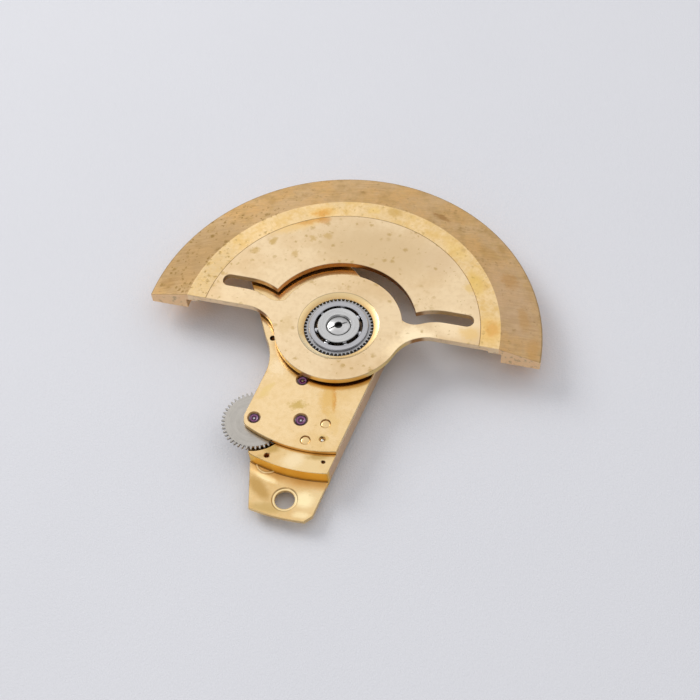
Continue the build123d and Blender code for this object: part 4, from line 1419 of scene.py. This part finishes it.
class ROTOR_OT_bearing(bpy.types.Operator):
    """Races, balls, cage and screw of the ball bearing"""

    bl_idname = "rotor.bearing"
    bl_label = "Ball bearing"

    def execute(self, context):
        ring, track, ball, cone, head, hole, slot = in_mm(
            "rotor_bearing", "ring_radius", "ball_circle_radius", "ball_radius", "cone_radius",
            "screw_radius", "screw_hole_radius", "slot_width")
        ball_low, ball_high = heights("bearing_balls")
        groove_centre = (track, (ball_low + ball_high) / 2)
        groove_radius = ball + 0.01
        # Half the width of the groove's mouth between the races
        mouth = 0.1

        low, high = heights("bearing_outer_ring")
        lip = track + mouth
        reach = math.degrees(math.asin(mouth / groove_radius))
        profile = [
            (lip + 0.015, low),
            (ring - 0.015, low),
            (ring, low + 0.015),
            (ring, high - 0.03),
            (ring - 0.03, high),
            (lip + 0.02, high),
            (lip, high - 0.02),
        ]
        profile += profile_arc(groove_centre, groove_radius, 90 - reach, reach - 90, 16)
        finish = turned_steel(
            "ring_steel", (0.49, 0.486, 0.498), lines=7.0, roughness=(0.18, 0.28), depth=0.0006, stain=0.12)
        keep("outer_race", solid(turn, profile), "rotor", finish, ["bearing_outer_ring"])

        low, high = heights("bearing_upper_cone")
        recess = high - 0.17
        stem = 0.41
        groove_end = 180 - math.degrees(math.acos(mouth / groove_radius))
        profile = [(stem, low)]
        profile += profile_arc(groove_centre, groove_radius, 180, groove_end, 10)
        profile += [
            (cone, high - 0.03),
            (cone - 0.03, high),
            (head + 0.13, high),
            (head + 0.11, high - 0.015),
            (head + 0.02, recess),
            (stem, recess),
        ]
        finish = turned_steel(
            "cone_steel", (0.60, 0.597, 0.585), lines=7.0, roughness=(0.18, 0.30), depth=0.0012, stain=0.15)
        keep("inner_race", solid(turn, profile), "module", finish, ["bearing_upper_cone"])
        refinish(finish, "bearing_lower_cone")

        balls = 7
        outline = profile_arc((0, groove_centre[1]), ball, 90, -90, 24)
        outline = [(radius if radius > ON_AXIS else 0.0, height) for radius, height in outline]
        bm = bmesh.new()
        for number in range(balls):
            turn(bm, outline, polar(track, 45 + 360 * number / balls), closed=False)
        finish = turned_steel(
            "ball_steel", (0.62, 0.62, 0.64), lines=6.0, roughness=(0.05, 0.10), depth=0.0003, stain=0.1)
        keep("bearing_ball_set", blank(bm), "ball_train", finish, ["bearing_balls"], 60)
        # The cage is painted near black, as shade in the narrow gap between the races
        cage_painted_shade = (0.13, 0.09, 0.06)
        refinish(turned_steel("cage_brass", cage_painted_shade, 10.0, (0.4, 0.6), 0.002), "ball_cage")

        floor, crown = heights("bearing_screw")
        dome_height = 0.13
        rim = crown - dome_height
        dome_radius = (head ** 2 + dome_height ** 2) / (2 * dome_height)
        edge = math.degrees(math.asin(head / dome_radius))
        profile = profile_arc((0, crown - dome_radius), dome_radius, 90, 90 - edge, 12)
        profile[0] = (0.0, crown)
        profile[-1] = (head - 0.012, rim + 0.004)
        profile += [
            (head, rim - 0.012),
            (head, recess + 0.001),
            (0.4, recess + 0.001),
            (0.4, floor),
            (0.0, floor),
        ]
        piece = solid(turn, profile, closed=False)
        slot_heading = 35
        slot_loop = []
        for end, side in ((0, 1), (180, 1), (180, -1), (0, -1)):
            slot_loop.append(polar(1.0, slot_heading + end, polar(side * slot / 2, slot_heading + 90)))
        tools = [
            solid(prism, slot_loop, crown - 0.12, crown + 0.3, 0.0),
            solid(turn, [
                (0.0, crown - 0.30),
                (hole, crown - 0.30),
                (hole, crown - 0.028),
                (hole + 0.06, crown + 0.032),
                (0.0, crown + 0.032),
            ], closed=False),
        ]
        cut(piece, tools)
        # The screw's slot and hole get painted shade
        finish = turned_steel(
            "screw_steel", (0.60, 0.595, 0.585), lines=8.0, roughness=(0.26, 0.36), depth=0.0008, stain=0.15,
            painted_shade_below=(crown - 0.10, 0.12))
        keep("domed_screw", piece, "module", finish, ["bearing_screw"])
        return {"FINISHED"}


class ROTOR_OT_bridge(bpy.types.Operator):
    """Polished bridge with its rivets and steady pin"""

    bl_idname = "rotor.bridge"
    bl_label = "Top bridge"

    def execute(self, context):
        bottom, top = heights("top_bridge")
        opening, radius, far_radius, jewel, rivet, edge_break = in_mm(
            "rotor_module", "opening_radius", "bridge_radius", "bridge_far_radius", "jewel_radius",
            "rivet_radius", "edge_break")
        oil_hole = {"centre": polar(opening + 1.67, -160), "radius": 0.17}
        pin_centre = centre_of("steady_pin")
        bores = [((0, 0), bore_steps(opening, bottom, top, 0.03))]
        edges = []
        for _, centre, share in JEWELS:
            sink = (jewel * share + 0.08, 0.08)
            bores.append((centre, bore_steps(jewel * share, bottom, top, 0.012, sink)))
            # Painted shade in each jewel's sink
            edges.append((centre, share * jewel + 0.035, 0.07, (0.09, 0.035, 0.03), 0.95, None))
        for centre in RIVET_CENTRES:
            bores.append((centre, bore_steps(rivet, bottom, top, 0.02)))
            edges.append((centre, rivet + 0.005, 0.03, (0.30, 0.15, 0.04), 0.35, None))
        bores.append((pin_centre, bore_steps(0.185, bottom, top, 0.02)))
        bores.append((oil_hole["centre"], bore_steps(oil_hole["radius"], bottom, top, 0.02)))
        outline = module_outline(opening, radius, -116.6, far_radius)
        piece = solid(prism, outline, bottom, top, edge_break, bores=bores)
        finish = bridge_gilt(edges, oil_hole)
        keep("polished_top_bridge", piece, "module", finish, ["top_bridge"])

        low, high = heights("bridge_rivets")
        profile = [
            (0.0, high),
            (rivet - 0.1, high - 0.004),
            (rivet - 0.05, high - 0.012),
            (rivet - 0.006, high - 0.05),
            (rivet - 0.006, low),
            (0.0, low),
        ]
        bm = bmesh.new()
        for centre in RIVET_CENTRES:
            turn(bm, profile, centre, closed=False)
        keep("flush_rivets", blank(bm), "module", rivet_gilt(), ["bridge_rivets"], 50)

        low, high = heights("steady_pin")
        profile = [(0.0, high), (0.07, high - 0.004), (0.11, high - 0.045), (0.11, low), (0.0, low)]
        pin = solid(turn, profile, pin_centre, closed=False)
        finish = turned_steel(
            "pin_steel", (0.75, 0.72, 0.64), lines=14.0, roughness=(0.12, 0.2), depth=0.0006)
        keep("bright_steady_pin", pin, "module", finish, ["steady_pin"], 50)
        return {"FINISHED"}


class ROTOR_OT_main_plate(bpy.types.Operator):
    """Milled block of the module with its ledge, pockets and fixing tab"""

    bl_idname = "rotor.main_plate"
    bl_label = "Main plate"

    def execute(self, context):
        low, high = heights("main_plate")
        opening, block, bridge, tab, hole = in_mm(
            "rotor_module", "opening_radius", "block_radius", "bridge_radius", "tab_radius",
            "screw_hole_radius")
        tab_top = low + 0.3
        outline = module_outline(opening, block, BLOCK_CORNER_ANGLE, block)
        piece = solid(prism, outline, low, high, 0.03)
        additions = [
            solid(prism, tab_outline(opening, bridge, block, tab), low, tab_top, 0.03),
            solid(turn, [
                (0.0, tab_top + 0.06),
                (0.68, tab_top + 0.06),
                (0.70, tab_top + 0.04),
                (0.70, tab_top - 0.1),
                (0.0, tab_top - 0.1),
            ], BOSS_CENTRE, closed=False),
        ]
        cut(piece, additions, "UNION")

        # Each pocket runs on past the face or the pocket that it opens into
        over = 0.5
        above = high + over
        below = low - over
        wheel_room = 2.1375
        star_room = 0.905
        reduction_room = 2.35
        screw_stem = 0.41
        small_hole_centre = polar(block - 0.76, -81.4)
        tools = []
        for loop, start, end in (
            (hull(circle(FIRST_CENTRE, wheel_room) + circle(SECOND_CENTRE, wheel_room)), 0.75, above),
            (circle((0, 0), opening), 0.9, above),
            (circle(REDUCTION_CENTRE, reduction_room), below, 0.76),
            (circle(FIRST_CENTRE, star_room), below, 0.77),
            (circle(SECOND_CENTRE, star_room), below, 0.78),
            (bottom_bridge_loop(), below, 0.29),
            (circle(REDUCTION_CENTRE, 0.2), 0.4, above),
            (circle((0, 0), screw_stem), 0.25, 1.2),
        ):
            tools.append(solid(prism, loop, start, end, 0.0))
        for centre, top, depth in ((TAB_HOLE_CENTRE, tab_top, 0.07), (FAR_HOLE_CENTRE, high, 0.55)):
            sink = hole + 0.15
            tools.append(solid(turn, [
                (0.0, below),
                (hole + over, below),
                (hole + 0.03, low - 0.001),
                (hole, low + 0.03),
                (hole, top - depth),
                (hole + 0.13, top - depth),
                (sink, top - depth + 0.02),
                (sink, top - 0.02),
                (sink + over, top - 0.02 + over),
                (0.0, top - 0.02 + over),
            ], centre, closed=False))
        for centre, radius in ((BOSS_CENTRE, 0.155), (small_hole_centre, 0.095)):
            tools.append(solid(turn, [
                (0.0, high - 0.55),
                (radius, high - 0.5),
                (radius, high - 0.015),
                (radius + over, high - 0.015 + over),
                (0.0, high - 0.015 + over),
            ], centre, closed=False))
        for centre in RIVET_CENTRES:
            tools.append(solid(prism, circle(centre, 0.3), 0.86, above, 0.0))
        cut(piece, tools)
        finish = main_plate_gilt(block, bridge, hole, small_hole_centre)
        keep("milled_main_plate", piece, "module", finish, ["main_plate"])
        refinish(finish, "bottom_bridge")
        return {"FINISHED"}


class ROTOR_OT_wheels(bpy.types.Operator):
    """Toothed reverser wheels and the steel pieces of the train"""

    bl_idname = "rotor.wheels"
    bl_label = "Wheels"

    def execute(self, context):
        teeth = context.scene.rotor_train.wheel_teeth
        module, edge_break = in_mm("rotor_train", "tooth_module", "edge_break")
        top = heights("second_reverser_wheel")[1]
        bottom = top - 0.15
        # On the line between the centres, the second wheel's teeth stand in the gaps of the first one's
        first_phase = 72.4
        centre_line = -123.8
        second_phase = centre_line + 180 - (first_phase - centre_line) + 180 / teeth
        for name, centre, phase in (
            ("first_reverser_wheel", FIRST_CENTRE, first_phase),
            ("second_reverser_wheel", SECOND_CENTRE, second_phase),
        ):
            bm = bmesh.new()
            outline = [(centre[0] + x, centre[1] + y) for x, y in tooth_loop(teeth, module, phase)]
            bores = [(centre, bore_steps(0.17, bottom, top, 0.01))]
            prism(bm, outline, bottom, top, edge_break, bores=bores)
            stud_low = heights(name)[0]
            profile = [
                (0.0, bottom + 0.01),
                (0.09, bottom + 0.01),
                (0.09, stud_low + 0.01),
                (0.08, stud_low),
                (0.0, stud_low),
            ]
            for stud in click_studs(name, centre):
                turn(bm, profile, stud, closed=False)
            finish = turned_steel(
                name + "_metal", tone_of("wheel_metal"), lines=7.0, roughness=(0.30, 0.42), depth=0.002,
                centre=centre)
            keep("toothed_" + name, blank(bm), name, finish, [name])
        for name, tone, lines, roughness, depth, nodes in (
            ("arbor_steel", (0.55, 0.55, 0.56), 10.0, (0.12, 0.25), 0.0008,
             ["first_reverser_arbor", "second_reverser_arbor", "reduction_arbor"]),
            ("click_steel", (0.42, 0.43, 0.46), 9.0, (0.2, 0.35), 0.001,
             ["first_reverser_clicks", "second_reverser_clicks"]),
            ("small_screw_steel", (0.50, 0.51, 0.54), 9.0, (0.12, 0.25), 0.001, ["bottom_bridge_screws"]),
            ("reduction_brass", (0.66, 0.46, 0.18), 9.0, (0.22, 0.38), 0.0015, ["reduction_wheel"]),
        ):
            refinish(turned_steel(name, tone, lines, roughness, depth), *nodes)
        return {"FINISHED"}


class ROTOR_OT_jewels(bpy.types.Operator):
    """Pierced ruby jewels with their oil cups"""

    bl_idname = "rotor.jewels"
    bl_label = "Jewels"

    def execute(self, context):
        finish = jewel_ruby("jewel_ruby", tone_of("ruby"))
        jewel = in_mm("rotor_module", "jewel_radius")[0]
        hole = 0.072
        cup_depth = 0.05
        cup_steps = 6
        for name, centre, share in JEWELS:
            for side in ("upper", "lower"):
                node = f"{name}_{side}_jewel"
                low, high = heights(node)
                face, back, way = (high, low, 1) if side == "upper" else (low, high, -1)
                radius = jewel * share - 0.004
                cup = 0.2 * share
                profile = [
                    (hole, back),
                    (radius - 0.015, back),
                    (radius, back + way * 0.015),
                    (radius, face - way * 0.03),
                    (radius - 0.008, face - way * 0.012),
                    (radius - 0.028, face),
                    (cup + 0.012, face),
                    (cup - 0.004, face - way * 0.01),
                ]
                for step in range(1, cup_steps + 1):
                    turned = math.radians(90 * step / cup_steps)
                    reach = hole + (cup - 0.004 - hole) * math.cos(turned)
                    profile.append((reach, face - way * (0.01 + cup_depth * math.sin(turned))))
                keep("ruby_" + node, solid(turn, profile, centre), "module", finish, [node], 40)
        return {"FINISHED"}


def pale_ground(gap, tone):
    """Wide floor with a low step that carries the module, hidden from the photo's side."""
    bm = bmesh.new()
    turn(bm, [(radius, -gap) for radius in (0.0, 60.0, 300.0, 1500.0)], closed=False)
    step = hull(circle((0.6, -4.3), 0.8) + circle((-2.4, -7.0), 0.8) + circle((0.0, -8.2), 0.8))
    prism(bm, step, -gap - 0.1, -0.002, 0.05)
    floor = blank(bm)
    floor.name = "pale_floor"
    dress(floor.data, pale_floor("floor_paper", tone), 30)


def soft_light(name, place, size, power):
    """Square soft light, in metres, that faces the rotor."""
    lamp = bpy.data.lights.new(name, "AREA")
    lamp.shape = "SQUARE"
    lamp.size = size
    lamp.energy = power
    lamp.spread = math.radians(100)
    light = bpy.data.objects.new(name, lamp)
    bpy.context.scene.collection.objects.link(light)
    light.location = place
    light.rotation_euler = Vector(place).to_track_quat("Z", "Y").to_euler()


def soft_room():
    """Even grey room with three wide bright patches overhead."""
    world = bpy.data.worlds.new("soft_room")
    world.use_nodes = True
    tree = world.node_tree
    way = lay(tree, "TexCoord").outputs["Generated"]
    height = rise(tree, parts_of(tree, way)[2], -0.1, 0.9)
    sky = tint(tree, height, (0.47, 0.47, 0.49), (0.34, 0.345, 0.36))
    # Heading of each patch, the cosines where it starts and is full, its share and its colour
    for centre, start, full, share, glow in (
        ((-0.16, 0.53, 0.833), 0.68, 0.95, 1.0, (1.0, 1.0, 1.02)),
        ((0.55, 0.35, 0.757), 0.70, 1.0, 0.9, (1.25, 1.25, 1.28)),
        ((-0.10, -0.36, 0.93), 0.78, 0.98, 0.9, (1.0, 1.0, 1.02)),
    ):
        toward = vector_maths(tree, "DOT_PRODUCT", {0: way, 1: centre})
        sky = wash(tree, rise(tree, toward, start, full), share, sky, glow)
    feed(tree, tree.nodes["Background"], {"Color": sky, "Strength": 1.0})
    return world


def photo_camera(azimuth, elevation, roll, distance, hub_pixel, focal_pixels, picture_width):
    """Camera placed by its view angles and the pixel where the hub's centre shows."""
    camera = bpy.data.cameras.new("photo_camera")
    camera.sensor_width = 36
    camera.lens = camera.sensor_width * focal_pixels / picture_width
    camera.clip_start = 0.001
    camera.clip_end = 10
    view = bpy.data.objects.new("photo_camera", camera)
    bpy.context.scene.collection.objects.link(view)

    tilt = math.radians(elevation)
    spin = math.radians(roll)
    back = Vector((0, -math.cos(tilt), math.sin(tilt)))
    level = Vector((1, 0, 0))
    upright = back.cross(level)
    right = math.cos(spin) * level + math.sin(spin) * upright
    up = math.cos(spin) * upright - math.sin(spin) * level
    across = (hub_pixel[0] - picture_width / 2) / focal_pixels * distance
    upward = -(hub_pixel[1] - picture_width / 2) / focal_pixels * distance
    place = back * distance - right * across - up * upward
    axes = Matrix((right, up, back)).transposed().to_4x4()
    swing = Matrix.Rotation(math.radians(azimuth), 4, "Z")
    lift = Matrix.Translation(Vector((0, 0, heights("rotor_plate")[1] * MM)))
    view.matrix_world = lift @ swing @ Matrix.Translation(place * MM) @ axes
    return view


class ROTOR_OT_stage(bpy.types.Operator):
    """Pale floor, soft lights and the camera"""

    bl_idname = "rotor.stage"
    bl_label = "Studio"

    def execute(self, context):
        scene = context.scene
        stage = scene.rotor_stage
        pale_ground(in_mm("rotor_stage", "floor_gap")[0], tuple(stage.floor))
        soft_light("key_softbox", (-0.216, 0.108, 0.177), 0.15, stage.key_power)
        soft_light("front_softbox", (-0.10, -0.40, 0.10), 0.24, stage.fill_power)
        scene.world = soft_room()
        # Angles in degrees, distance in millimetres, and pixels of the 700 pixel wide photo
        scene.camera = photo_camera(
            azimuth=18.7,
            elevation=55.58,
            roll=-5.42,
            distance=79.94,
            hub_pixel=(338.43, 325.04),
            focal_pixels=1300,
            picture_width=700,
        )
        scene.view_settings.view_transform = "Standard"
        return {"FINISHED"}


# Panel and registration

SETTINGS = (
    ("rotor_sizes", RotorSettings),
    ("rotor_module", ModuleSettings),
    ("rotor_train", TrainSettings),
    ("rotor_bearing", BearingSettings),
    ("rotor_finishes", FinishSettings),
    ("rotor_stage", StageSettings),
)

OPERATORS = (
    ROTOR_OT_stage,
    ROTOR_OT_plate,
    ROTOR_OT_weight,
    ROTOR_OT_gear,
    ROTOR_OT_bearing,
    ROTOR_OT_bridge,
    ROTOR_OT_main_plate,
    ROTOR_OT_wheels,
    ROTOR_OT_jewels,
)


class ROTOR_PT_panel(bpy.types.Panel):
    """Pieces and settings of the watch rotor"""

    bl_idname = "ROTOR_PT_panel"
    bl_label = "Watch rotor"
    bl_space_type = "VIEW_3D"
    bl_region_type = "UI"
    bl_category = "Rotor"

    def draw(self, context):
        layout = self.layout
        for operator in OPERATORS:
            layout.operator(operator.bl_idname)
        for name, group in SETTINGS:
            box = layout.box()
            box.label(text=group.__doc__)
            for field in group.__annotations__:
                box.prop(getattr(context.scene, name), field)


def register():
    """Make the settings, operators and panel known to Blender."""
    for name, group in SETTINGS:
        bpy.utils.register_class(group)
        setattr(bpy.types.Scene, name, PointerProperty(type=group))
    for operator in OPERATORS:
        bpy.utils.register_class(operator)
    bpy.utils.register_class(ROTOR_PT_panel)


def unregister():
    """Take them out again."""
    bpy.utils.unregister_class(ROTOR_PT_panel)
    for operator in reversed(OPERATORS):
        bpy.utils.unregister_class(operator)
    for name, group in reversed(SETTINGS):
        delattr(bpy.types.Scene, name)
        bpy.utils.unregister_class(group)


def main():
    """Build every piece."""
    register()
    for operator in OPERATORS:
        section, call = operator.bl_idname.split(".")
        getattr(getattr(bpy.ops, section), call)()


if __name__ == "__main__":
    main()
